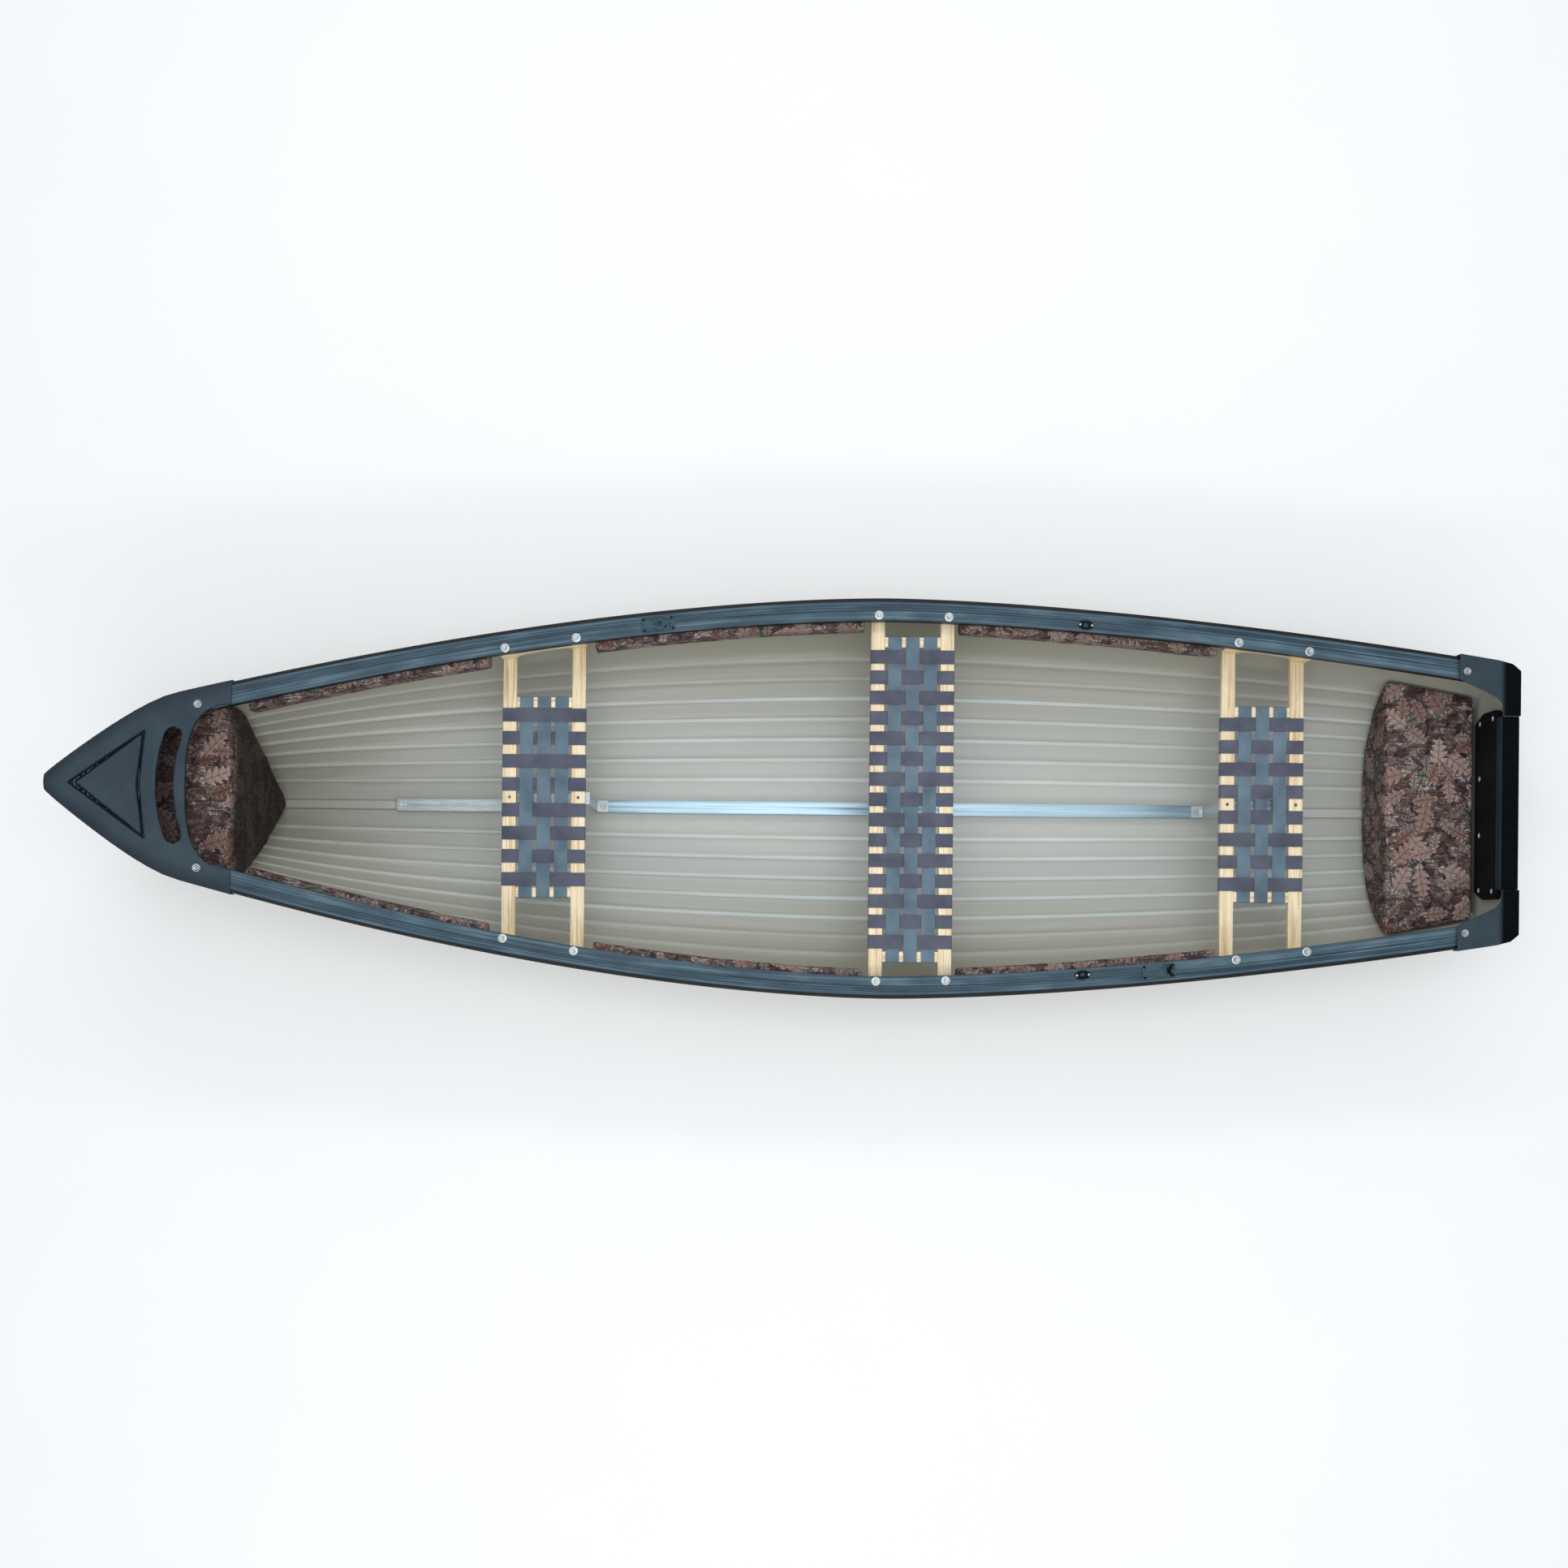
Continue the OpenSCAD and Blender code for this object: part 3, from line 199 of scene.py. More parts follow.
def loft(name, rings, merge=1e-6):
    """A tube through closed rings of points, with its ends filled."""
    rings = [list(ring) + [ring[0]] for ring in rings]
    return clean(skin(name, rings), merge, fill=True)


# %% [markdown]
# ## The lines of the hull
# A boat's shape is drawn as lines. Half-breadth and sheer say how wide and how high the edge is
# at each station. The section formula then rounds the bottom into the side. These are the same
# rules as the solid model's, so the fine skin made here lies exactly on the plain one.

# %% The lines of the hull
bow_x, stern_x = cad_low.x, cad_high.x
beam = 1.109
depth, bow_rise, stern_rise = 0.355, 0.245, 0.035
widest_x = 0.250
skin_t = 0.005
transom_t = 0.024
edge_drop = 0.0092
stem_x = bow_x + 0.009
stem_l = 0.330


def fore(x):
    """How far a station lies from the widest one towards the bow, from 0 to 1."""
    return max(0.0, (widest_x - x) / (widest_x - bow_x))


def aft(x):
    """How far a station lies from the widest one towards the stern, from 0 to 1."""
    return max(0.0, (x - widest_x) / (stern_x - widest_x))


def half_beam(x):
    """Half the width over the gunwales."""
    nose = (1 - max(0.0, 1 - (x - bow_x + 0.012) / 0.330) ** 1.7) ** 0.8
    return beam / 2 * (1 - 0.736 * fore(x) ** 1.76 - 0.322 * aft(x) ** 1.62) * nose


def sheer(x):
    """The height of the gunwale's top."""
    return depth + bow_rise * fore(x) ** 2.2 + stern_rise * aft(x) ** 2


def hull_half(x):
    """Half the width of the skin, which stands inside the gunwale."""
    return half_beam(x) - 0.024 * half_beam(x) / (half_beam(x) + 0.030)


def rocker(x):
    """How far the keel has risen: a little towards the bow and a little towards the stern."""
    at_bow = 0.018 * (max(0.0, -1.180 - x) / 0.801) ** 2
    at_stern = 0.026 * (max(0.0, x - 1.300) / 0.681) ** 2
    return at_bow + at_stern


def stem(x):
    """The height of the rounded stem, which ends the keel at the bow."""
    share = min(1.0, max(0.0, 1 - (x - stem_x) / stem_l))
    return (sheer(stem_x) - 0.040) * (1 - (1 - share**2.2) ** (1 / 2.2))


def section(x, inset, bottom):
    """One side of the skin at a station, from the keel up to the edge."""
    angle = np.linspace(0, math.pi / 2, 60)
    top = sheer(x) - edge_drop
    half = hull_half(x) - inset
    flat = min(0.090 * (1 - fore(x) ** 1.2) * (1 - 0.5 * aft(x) ** 2), 0.5 * half)
    bottom_power = 2.6 - 1.5 * fore(x) ** 1.6 - 0.75 * aft(x) ** 1.5
    side_power = 2.8 - 1.2 * fore(x) ** 2 - 0.5 * aft(x) ** 2
    y = flat + (half - flat) * np.sin(angle) ** (2 / bottom_power)
    z = top - (top - bottom) * np.abs(np.cos(angle)) ** (2 / side_power)
    return np.append(0, y), np.append(bottom, z)


print("beam", beam, "sheer at the bow", round(sheer(bow_x), 3), "amidships", round(sheer(widest_x), 3))

# %% [markdown]
# ## The moulded hull
# The shell is one moulding. Seven flutes a side stiffen the floor, and a flat ridge stands on the
# centre line ahead of the keel tube and behind it. The outer skin is plain. The inner skin has
# extra points across each flute, lifted along the skin's own normal. Then both skins get their
# ends filled, and the two edges are bridged, which gives the wall its thickness.

# %% The inner skin's flutes
flute_first, flute_step, flute_count = 0.1185, 0.0820, 7
flute_h, flute_half = 0.0040, 0.0125
flute_slope = 0.6
# The flutes nearest the keel get a full painted highlight, the outer ones a weaker one.
highlit_flute_count, outer_flute_shine = 5, 0.35
ridge_h, ridge_half = 0.010, 0.0250
ridge_slope = 0.25
tube_fore, tube_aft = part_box("keel_tube_forward")[0].x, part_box("keel_tube_main")[1].x
across_flute = np.linspace(-1, 1, 9)
flute_middles = [flute_first + flute_step * k for k in range(flute_count)]
shares = np.unique(np.round(np.concatenate(
    [[0], ridge_half * np.array([0.5, 0.72, 0.80, 0.87, 0.94, 1.0, 1.3])]
    + [middle + across_flute * flute_half for middle in flute_middles]
    + [middle - flute_step * np.array([0.35, 0.65]) for middle in flute_middles[1:]]
    + [[0.062, 0.090], np.linspace(0.66, 1, 12)]
), 5))
flute_lift = np.zeros(len(shares))
flute_shine = np.zeros(len(shares))
for k, middle in enumerate(flute_middles):
    near = np.clip((1 - np.abs(shares - middle) / flute_half) / flute_slope, 0, 1)
    profile = near**2 * (3 - 2 * near)
    flute_lift += flute_h * profile
    flute_shine += (1.0 if k < highlit_flute_count else outer_flute_shine) * np.clip(1.4 * profile, 0, 1)
ridge_lift = ridge_h * np.clip((1 - shares / ridge_half) / ridge_slope, 0, 1) ** 0.7
stem_wall = 0.014
ridge_start = bow_x + 0.19
ridge_gap_fore, ridge_gap_aft = 0.004, 0.03


def inner_side(x):
    """One side of the inner skin, with its flutes and the centre ridge."""
    y, z = section(x, skin_t, max(rocker(x), stem(x - stem_wall)) + skin_t)
    run = np.append(0, np.cumsum(np.hypot(np.diff(y), np.diff(z))))
    at = shares * run[-1]
    step = 0.004 * run[-1]
    dy = np.interp(at + step, run, y) - np.interp(at - step, run, y)
    dz = np.interp(at + step, run, z) - np.interp(at - step, run, z)
    has_ridge = tube_fore - ridge_gap_fore > x > ridge_start or x > tube_aft + ridge_gap_aft
    lift = (flute_lift + (ridge_lift if has_ridge else 0)) / np.maximum(np.hypot(dy, dz), 1e-9)
    side_y = np.interp(at, run, y) - dz * lift
    side_z = np.interp(at, run, z) + dy * lift
    side_y[0] = 0
    return np.maximum(side_y, 0.06 * shares), side_z


def outer_side(x):
    """One side of the plain outer skin."""
    return section(x, 0, max(rocker(x), stem(x)))


def whole_ring(x, side):
    """The port half of a section, mirrored, and the starboard half, from edge to edge."""
    y, z = side
    port = np.stack([np.full(len(y) - 1, x), -y[:0:-1], z[:0:-1]], 1)
    starboard = np.stack([np.full(len(y), x), y, z], 1)
    return np.concatenate([port, starboard])


print("points across the inner skin:", 2 * len(shares) - 1)

# %% [markdown]
# Stations are the places where a boat's lines are drawn. They stand closer together at the bow,
# where the shape changes fastest. A grid laid on the sections there gives each skin. An attribute
# marks the tops of the flutes and the centre ridge, which the finish paints paler as a highlight.


# %% The hull
def stations(start, end, count=150):
    """Stations along the boat, closer together at the bow, where the lines turn fastest."""
    share = np.linspace(0, 1, count)
    eased = np.where(share < 0.36, 0.21 * (share / 0.36) ** 1.9, 0.21 + 0.79 * (share - 0.36) / 0.64)
    return start + (end - start) * eased


def hull_skin(name, xs, side_at, crests):
    """A skin of the hull, marked where its flutes stand, with a face across each of its ends."""
    rings = [whole_ring(x, side_at(x)) for x in xs]
    piece = skin(name, rings)
    crest = piece.data.attributes.new("crest", "FLOAT", "POINT")
    crest.data.foreach_set("value", np.tile(crests, len(xs)))
    columns = len(rings[0])
    count = len(piece.data.vertices)
    for first in (0, count - columns):
        pick(piece)
        bpy.ops.object.mode_set(mode="EDIT")
        bpy.ops.mesh.select_mode(type="VERT")
        bpy.ops.mesh.select_all(action="DESELECT")
        bpy.ops.object.mode_set(mode="OBJECT")
        for i in range(first, first + columns):
            piece.data.vertices[i].select = True
        bpy.ops.object.mode_set(mode="EDIT")
        bpy.ops.mesh.edge_face_add()
        bpy.ops.object.mode_set(mode="OBJECT")
    return piece


hull_end = stern_x - 0.006
# The finish paints a highlight on the flute tops and, more weakly, along the centre ridge.
side_crests = np.clip(flute_shine + 0.35 * ridge_lift / ridge_h, 0, 1)
inner_crests = np.concatenate([side_crests[:0:-1], side_crests])
outer = hull_skin("outer_skin", stations(stem_x, hull_end), outer_side, np.zeros(121))
inner = hull_skin("inner_skin", stations(stem_x + 0.040, hull_end - transom_t), inner_side, inner_crests)
hull = join("moulded_hull", [outer, inner])
bpy.ops.object.mode_set(mode="EDIT")
bpy.ops.mesh.select_all(action="DESELECT")
bpy.ops.mesh.select_non_manifold()
bpy.ops.mesh.bridge_edge_loops()
bpy.ops.object.mode_set(mode="OBJECT")
clean(hull)
modify(hull, "BEVEL", width=0.004, segments=3, limit_method="ANGLE", angle_limit=math.radians(60))
smooth(hull, 40)
install(hull, "hull", "hull_shell")

# %% [markdown]
# ## The gunwales
# A gunwale is a plastic extrusion, bent along the edge of the boat. Its section is drawn once,
# as distance inwards from the outer edge and height above the sheer: a round black lip outside,
# a step, three fine grooves, a flat that takes the bolts, and the two legs that clasp the skin.
# The section is laid at stations along the sheer and lofted.

# %% The section of a gunwale
gunwale_w = 0.062
lip_w = 0.009
groove_middles = [0.0205, 0.0275, 0.0345]
groove_w, groove_d = 0.0036, 0.0018
gunwale_section = [
    (0.0060, -0.0340), (0.0005, -0.0340), (0.0, -0.0330), (0.0, -0.0060), (0.0006, -0.0036),
    (0.0022, -0.0018), (0.0045, -0.0012), (0.0070, -0.0018), (lip_w, -0.0030), (lip_w + 0.0008, -0.0030),
    (lip_w + 0.0014, -0.0008), (lip_w + 0.0026, 0.0),
]
for middle in groove_middles:
    gunwale_section += [
        (middle - groove_w / 2 - 0.0006, 0.0), (middle - groove_w / 2, -0.0004),
        (middle - groove_w / 4, -groove_d), (middle + groove_w / 4, -groove_d),
        (middle + groove_w / 2, -0.0004), (middle + groove_w / 2 + 0.0006, 0.0),
    ]
gunwale_section += [
    (0.0560, 0.0), (0.0590, -0.0004), (0.0610, -0.0018), (gunwale_w, -0.0042), (gunwale_w, -0.0290),
    (0.0612, -0.0300), (0.0320, -0.0300), (0.0315, -0.0290), (0.0315, -0.0080), (0.0060, -0.0080),
]
print("points in the section:", len(gunwale_section))

# %% [markdown]
# Every point of a gunwale also stores how far it lies in from the edge. The streaks of the finish
# are drawn along the boat with that measure, so they follow the curve of the side.

# %% Both gunwales
gunwale_start, gunwale_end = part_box("gunwale_starboard")[0].x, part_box("gunwale_starboard")[1].x


def gunwale(name, side):
    """One gunwale, on starboard with side 1 or on port with side -1."""
    rings = [
        [(x, side * (half_beam(x) - inward), sheer(x) + up) for inward, up in gunwale_section]
        for x in np.linspace(gunwale_start, gunwale_end, 120)
    ]
    piece = smooth(loft(name, rings), 50)
    across = piece.data.attributes.new("across", "FLOAT", "POINT")
    for vertex in piece.data.vertices:
        across.data[vertex.index].value = half_beam(vertex.co.x) - abs(vertex.co.y)
    return piece


gunwales = [gunwale("starboard_gunwale", 1), gunwale("port_gunwale", -1)]
install(gunwales[0], "gunwale", "gunwale_starboard")
install(gunwales[1], "gunwale", "gunwale_port")

# %% [markdown]
# ## Moulded caps
# The bow deck and the stern caps are mouldings with soft edges. Their outlines, slot and groove
# are right in the solid model, where every edge is sharp. A copy is remeshed into small even
# cells, and a smoothing modifier then rounds all edges alike, as a mould's fillets do.


# %% Moulded caps
def copy_of(node, name):
    """A copy of a solid as a clean mesh with no doubles."""
    piece = bpy.data.objects.new(name, nodes[node].data.copy())
    bpy.context.scene.collection.objects.link(piece)
    piece.data.name = name
    piece.data.materials.clear()
    pick(piece)
    bpy.ops.mesh.customdata_custom_splitnormals_clear()
    return clean(piece, 1e-5)


def mould(node, name, cell, passes):
    """A soft-edged copy of a solid."""
    piece = copy_of(node, name)
    modify(piece, "REMESH", mode="VOXEL", voxel_size=cell)
    modify(piece, "SMOOTH", factor=0.5, iterations=passes)
    return smooth(piece, 60)


deck = mould("bow_deck", "bow_cap", 0.0025, 6)
deck_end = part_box("bow_deck")[1].x
deck_top = 0.0053
crown, shoulder, shoulder_w = 0.010, 0.007, 0.045
skirt_t = 0.005
groove_top, groove_bottom, groove_margin = 0.0004, 0.0042, 0.024
shade_from, shade_over = 0.0003, 0.0014
deepening = 0.8
# The sunk and rim attributes mark where painted shade darkens the groove and the sloping rim.
sunk = deck.data.attributes.new("sunk", "FLOAT", "POINT")
rim = deck.data.attributes.new("rim", "FLOAT", "POINT")
for vertex in deck.data.vertices:
    x, y, z = vertex.co
    along = min(1.0, max(0.0, (deck_end - x) / (deck_end - bow_x)))
    edge = max(0.0, half_beam(x) + skirt_t - abs(y))
    below = sheer(max(x, bow_x)) + deck_top - z
    is_groove = groove_top < below < groove_bottom and edge > groove_margin
    sunk.data[vertex.index].value = min(1.0, (below - shade_from) / shade_over) if is_groove else 0.0
    turn = max(0.0, 1 - edge / shoulder_w)
    rim.data[vertex.index].value = turn
    if is_groove:
        vertex.co.z -= deepening * below
    across_share = y / (half_beam(x) + 0.01)
    vertex.co.z += crown * math.sin(math.pi * along) * max(0.0, 1 - across_share**2)
    vertex.co.z -= shoulder * turn**2
install(deck, "deck", "bow_deck")
stern_caps = []
fall, fall_w = 0.002, 0.050
for node in ("transom_cap", "stern_corner_cap_starboard", "stern_corner_cap_port"):
    cap = mould(node, node + "_moulded", 0.0018, 5)
    for vertex in cap.data.vertices:
        vertex.co.z -= fall * max(0.0, (vertex.co.x - (stern_x - fall_w)) / fall_w) ** 1.5
    stern_caps.append(install(cap, "deck", node))

# %% [markdown]
# ## Foam
# Blocks of closed-cell foam keep the boat afloat. They are wrapped in printed cloth, so the edges
# are round and the faces are not quite flat. The same remesh does it with larger cells, and a
# shallow cloud displacement gives the wrapped cloth its unevenness. Foam this stiff doesn't
# bulge between its seams, so a cloth simulation would add nothing here. The bow block's aft face
# is trimmed to a V, since its foot stands in the sharp bottom of the bow.

# %% Foam
unevenness = bpy.data.textures.new("unevenness", "CLOUDS")
unevenness.noise_scale = 0.09
foam_nodes = [name for name in nodes if "foam" in name]
foam_pieces = []
trim_most, trim_slope, trim_rise = 0.030, 0.52, 0.26
for node in foam_nodes:
    block = "block" in node
    cell = 0.006 if block else 0.005
    piece = mould(node, node + "_wrapped", cell, 5 if block else 3)
    if node == "bow_foam_block":
        low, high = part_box(node)
        for vertex in piece.data.vertices:
            x, y, z = vertex.co
            trimmed = high.x - trim_slope * abs(y) + trim_rise * (z - low.z)
            vertex.co.x = min(x, max(x - trim_most, trimmed))
    modify(piece, "DISPLACE", texture=unevenness, strength=0.006 if block else 0.003, mid_level=0.6)
    smooth(piece, 80)
    install(piece, "foam", node)
    foam_pieces.append(piece)

# %% [markdown]
# ## Rounded hard parts
# Wood, aluminium, nylon and steel parts keep their shapes, but nothing real has a perfectly sharp
# edge. Each is copied, its flat triangles are dissolved into whole faces, and a bevel breaks the
# edges. The width is what a router, a press or a mould leaves on each.


# %% Rounded hard parts
bolt_rim, screw_rim, recess_depth = 0.0028, 0.0012, 0.0016


def recess(piece, way, size, depth):
    """Sinks a driver's recess into each head: the round faces that look the given way."""
    pick(piece)
    for face in piece.data.polygons:
        face.select = len(face.vertices) > 7 and face.normal.dot(way) > 0.9
    bpy.ops.object.mode_set(mode="EDIT")
    bpy.ops.mesh.select_mode(type="FACE")
    bpy.ops.mesh.inset(thickness=size, use_individual=True)
    bpy.ops.mesh.inset(thickness=0.0002, depth=-depth, use_individual=True)
    bpy.ops.object.mode_set(mode="OBJECT")
    # The recess faces take the second slot, which later holds the painted shade.
    for face in piece.data.polygons:
        if face.select:
            face.material_index = 1


def rounded(node, width, segments=2, angle=30):
    """A copy of a solid with broken edges and, on a fastener, a driver's recess in each head."""
    piece = copy_of(node, node + "_rounded")
    clean(piece, 1e-5, dissolve=0.5)
    if "bolts" in node or "screws" in node:
        way = Vector((-1, 0, 0)) if node == "transom_screws" else Vector((0, 0, 1))
        piece.data.materials.append(None)
        piece.data.materials.append(None)
        recess(piece, way, bolt_rim if "bolts" in node else screw_rim, recess_depth)
    modify(
        piece, "BEVEL", width=width, segments=segments, limit_method="ANGLE",
        angle_limit=math.radians(angle), use_clamp_overlap=True,
    )
    smooth(piece, 40)
    slot = next(row["material_slot"] for row in frame["record"]["subparts"] if row["node"] == node)
    return install(piece, slot, node, body=nodes[node]["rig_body"])


edge_widths = {
    "bar": 0.0025, "rails": 0.002, "truss": 0.0025, "board": 0.003, "tube": 0.0015, "bracket": 0.0006,
    "socket": 0.0007, "base": 0.0006, "clip": 0.0008, "bolts": 0.0009, "washers": 0.0004, "nuts": 0.0004,
    "screws": 0.0005, "rivets": 0.0007, "pin": 0.0003,
}
hard_parts = {}
for node in nodes:
    if "foam" in node or "strap" in node or node in ("hull_shell", "bow_deck", "transom_cap") \
            or node.startswith(("gunwale", "stern_corner")):
        continue
    kind = next(word for word in (
        "screws", "bolts", "washers", "nuts", "rivets", "pin", "bracket", "tube", "socket", "base",
        "clip", "board", "truss", "rails", "bar") if word in node)
    hard_parts[node] = rounded(node, edge_widths[kind])

# %% [markdown]
# ## Webbing
# The seats are woven from flat straps. A strap is folded under one bar, runs over it and across,
# and folds under the other. Where two straps cross, one lies over the other, and between
# crossings each changes height. So a strap's path is a short list of heights at the crossings,
# and its flat section is lofted along that path.

# %% One strap
web_w, web_t = 0.038, 0.0018
web_gap = 0.0003
rise = 0.0011
strap_section = [
    (-1.0, 0.0), (-0.985, 0.8), (-0.93, 1.0), (0.0, 1.0), (0.93, 1.0), (0.985, 0.8), (1.0, 0.0),
    (0.985, -0.8), (0.93, -1.0), (0.0, -1.0), (-0.93, -1.0), (-0.985, -0.8),
]


def strap_path(half, thick, fold, crossings):
    """Points (along, up) of a strap about the wood's top: crossings are [place, 1 over or -1 under]."""
    off = web_gap + web_t / 2
    corner = off + 0.0022
    end = half + off
    path = [(-half + fold, -thick - off)]
    for turn in np.linspace(0, 90, 5):
        a = math.radians(turn)
        path.append((-end + corner - corner * math.sin(a), -thick - off + corner - corner * math.cos(a)))
    for turn in np.linspace(0, 90, 5):
        a = math.radians(turn)
        path.append((-end + corner - corner * math.cos(a), off - corner + corner * math.sin(a)))
    other_end = [(-along, up) for along, up in reversed(path)]
    reach = web_w / 2 - 0.0005
    before = 0.0
    for place, over in crossings:
        height = off + over * rise
        path.append((place - reach - 0.006, off + (before + over) / 2 * rise))
        path += [(place - reach, height), (place, height), (place + reach, height)]
        before = over
    path.append((crossings[-1][0] + reach + 0.006, off + before / 2 * rise))
    return path + other_end


def strap_rings(path, along_x, across, top):
    """The rings of one strap along X or along Y, at a place across, over wood with that top."""
    rings = []
    for i, (along, up) in enumerate(path):
        a, b = path[max(0, i - 1)], path[min(len(path) - 1, i + 1)]
        length = math.hypot(b[0] - a[0], b[1] - a[1])
        n_along, n_up = -(b[1] - a[1]) / length, (b[0] - a[0]) / length
        ring = []
        for side, lift in strap_section:
            s = along + n_along * lift * web_t / 2
            u = top + up + n_up * lift * web_t / 2
            w = across + side * web_w / 2
            ring.append((s, w, u) if along_x else (w, s, u))
        rings.append(ring)
    return rings


print("points round a strap:", len(strap_section))

# %% [markdown]
# Each seat has its own weave. The letters say which of the three lengthwise straps, forward,
# centre and aft, a crosswise strap passes over, from starboard to port.

# %% The three webs
weaves = {
    "front": "FCA,-,FCA,-,CA,FA,C,FA",
    "middle": "FA,C," * 7 + "FA",
    "stern": "FA,C,FA,C,C,FA,C,FA",
}
web_pitch = 0.0494
webs = {}
for seat, weave in weaves.items():
    bar_low, bar_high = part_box(seat + "_seat_bar_forward")
    aft_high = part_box(seat + "_seat_bar_aft")[1]
    rail_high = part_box(seat + "_seat_end_rails")[1]
    strap_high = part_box(seat + "_seat_straps_cross")[1]
    top, thick = bar_high.z, bar_high.z - bar_low.z
    middle = (bar_low.x + aft_high.x) / 2
    rows = weave.split(",")
    count = len(rows)
    outermost = strap_high.y - web_w / 2
    if seat == "middle":
        places = list(np.linspace(outermost, -outermost, count))
    else:
        side = list(np.linspace(outermost, 0.036, count // 2))
        places = side + [-y for y in reversed(side)]
    over = [[1 if letter in row else -1 for letter in "FCA"] for row in rows]
    bar_half = aft_high.x - middle
    parts = []
    for y, row in zip(places, over):
        crossings = [((k - 1) * web_pitch, row[k]) for k in range(3)]
        path = strap_path(bar_half, thick, 0.033, crossings)
        path = [(middle + along, up) for along, up in path]
        parts.append(loft("strap", strap_rings(path, True, y, top)))
    webs[seat, "cross"] = smooth(join(seat + "_web_crosswise", parts), 60)
    install(webs[seat, "cross"], "strap_cross", seat + "_seat_straps_cross")
    parts = []
    for k in range(3):
        crossings = sorted((y, -row[k]) for y, row in zip(places, over))
        path = strap_path(rail_high.y, thick, 0.025, crossings)
        parts.append(loft("strap", strap_rings(path, False, middle + (k - 1) * web_pitch, top)))
    webs[seat, "long"] = smooth(join(seat + "_web_lengthwise", parts), 60)
    install(webs[seat, "long"], "strap_long", seat + "_seat_straps_long")

# %% [markdown]
# ## Helpers for finishes
# A finish is a small tree of shader nodes. Values that are the same all over go straight on the
# shader's own sockets. Patterns read the object's own coordinates, so they stay on the piece.


# %% Helpers for finishes
def paint(red, green, blue):
    """A colour as painters mix it, from 0 to 255, in the linear values that shaders use."""
    levels = [c / 255 for c in (red, green, blue)]
    return [c / 12.92 if c <= 0.04045 else ((c + 0.055) / 1.055) ** 2.4 for c in levels] + [1.0]


def start(name, **sockets):
    """A new finish and its shader, with plain values on the shader's sockets."""
    finish = bpy.data.materials.new(name)
    finish.use_nodes = True
    shader = finish.node_tree.nodes["Principled BSDF"]
    for socket, value in sockets.items():
        shader.inputs[socket.replace("_", " ")].default_value = value
    return finish, shader


def add(finish, kind, sockets, **settings):
    """Adds one node. A socket takes a plain value or another node's output."""
    made = finish.node_tree.nodes.new("ShaderNode" + kind)
    for name, value in settings.items():
        setattr(made, name, value)
    for socket, value in sockets.items():
        if isinstance(value, bpy.types.NodeSocket):
            finish.node_tree.links.new(value, made.inputs[socket])
        else:
            made.inputs[socket].default_value = value
    return made


# %% [markdown]
# A pattern is a value from 0 to 1 that changes from place to place. These helpers read the
# coordinates, make the pattern, turn it into a colour or a relief, and do sums with it.


# %% Patterns and colours
def coordinates(finish, stretch=(1, 1, 1), shift=(0, 0, 0)):
    """The piece's own coordinates, stretched along each axis."""
    place = add(finish, "TexCoord", {}).outputs["Object"]
    return add(finish, "Mapping", {"Vector": place, "Scale": stretch, "Location": shift}).outputs[0]


def noise(finish, vector, scale, detail=3.0, distortion=0.0):
    """A soft random pattern, as a value from 0 to 1."""
    sockets = {"Vector": vector, "Scale": scale, "Detail": detail, "Distortion": distortion}
    return add(finish, "TexNoise", sockets).outputs["Fac"]


def ramp(finish, value, *stops):
    """Colours laid along a value. Each stop is (place, colour)."""
    made = add(finish, "ValToRGB", {"Fac": value})
    points = made.color_ramp.elements
    while len(points) < len(stops):
        points.new(0.5)
    for point, (place, colour) in zip(points, stops):
        point.position = place
        point.color = colour
    return made.outputs["Color"]


def grey(level):
    """A neutral colour, which also serves as a plain share in a ramp."""
    return [level, level, level, 1.0]


def sums(finish, operation, *values, clamp=False):
    """One step of arithmetic between values or outputs."""
    return add(finish, "Math", dict(enumerate(values)), operation=operation, use_clamp=clamp).outputs[0]


def mix(finish, factor, first, second, blend="MIX"):
    """Two colours mixed, or one laid on the other with a blend."""
    sockets = {"Factor": factor, 6: first, 7: second}
    return add(finish, "Mix", sockets, data_type="RGBA", blend_type=blend).outputs[2]


def bump(finish, shader, height, distance, strength=1.0):
    """Relief on the surface. A second call adds to the first."""
    sockets = {"Height": height, "Distance": distance, "Strength": strength}
    linked = shader.inputs["Normal"].links
    if linked:
        sockets["Normal"] = linked[0].from_socket
    made = add(finish, "Bump", sockets)
    finish.node_tree.links.new(made.outputs[0], shader.inputs["Normal"])


def wire(finish, value, shader, socket):
    """Joins an output to one of the shader's sockets."""
    finish.node_tree.links.new(value, shader.inputs[socket])


def dress(finish, *pieces):
    """Puts one finish on whole pieces."""
    for piece in pieces:
        piece.data.materials.clear()
        piece.data.materials.append(finish)


# %% [markdown]
# ## Moulded plastic
# The hull is khaki polyethylene with a soft gloss. Its colour drifts a little, and the surface
# waves slightly, as a moulding does when it cools. A painted sheen makes the floor paler amidships,
# and painted highlights pale the tops of the flutes and the ridge. The sides are mixed darker khaki.

# %% Moulded plastic
hull_finish, shader = start("khaki_hull", Roughness=0.36, Specular_IOR_Level=0.6)
place = coordinates(hull_finish)
drift = noise(hull_finish, place, 2.2, 3)
tone = ramp(hull_finish, drift, (0.35, paint(158, 155, 141)), (0.65, paint(168, 165, 151)))
along = add(hull_finish, "SeparateXYZ", {0: place}).outputs[0]
# Painted sheen: the floor is mixed paler amidships, fading out towards the bow and partly aft.
amidships = ramp(hull_finish, sums(hull_finish, "MULTIPLY_ADD", along, 0.25, 0.5),
                 (0.12, grey(0)), (0.30, grey(1)), (0.86, grey(1)), (0.96, grey(0.6)))
tone = mix(hull_finish, sums(hull_finish, "MULTIPLY", amidships, 0.7), tone, paint(199, 201, 196))
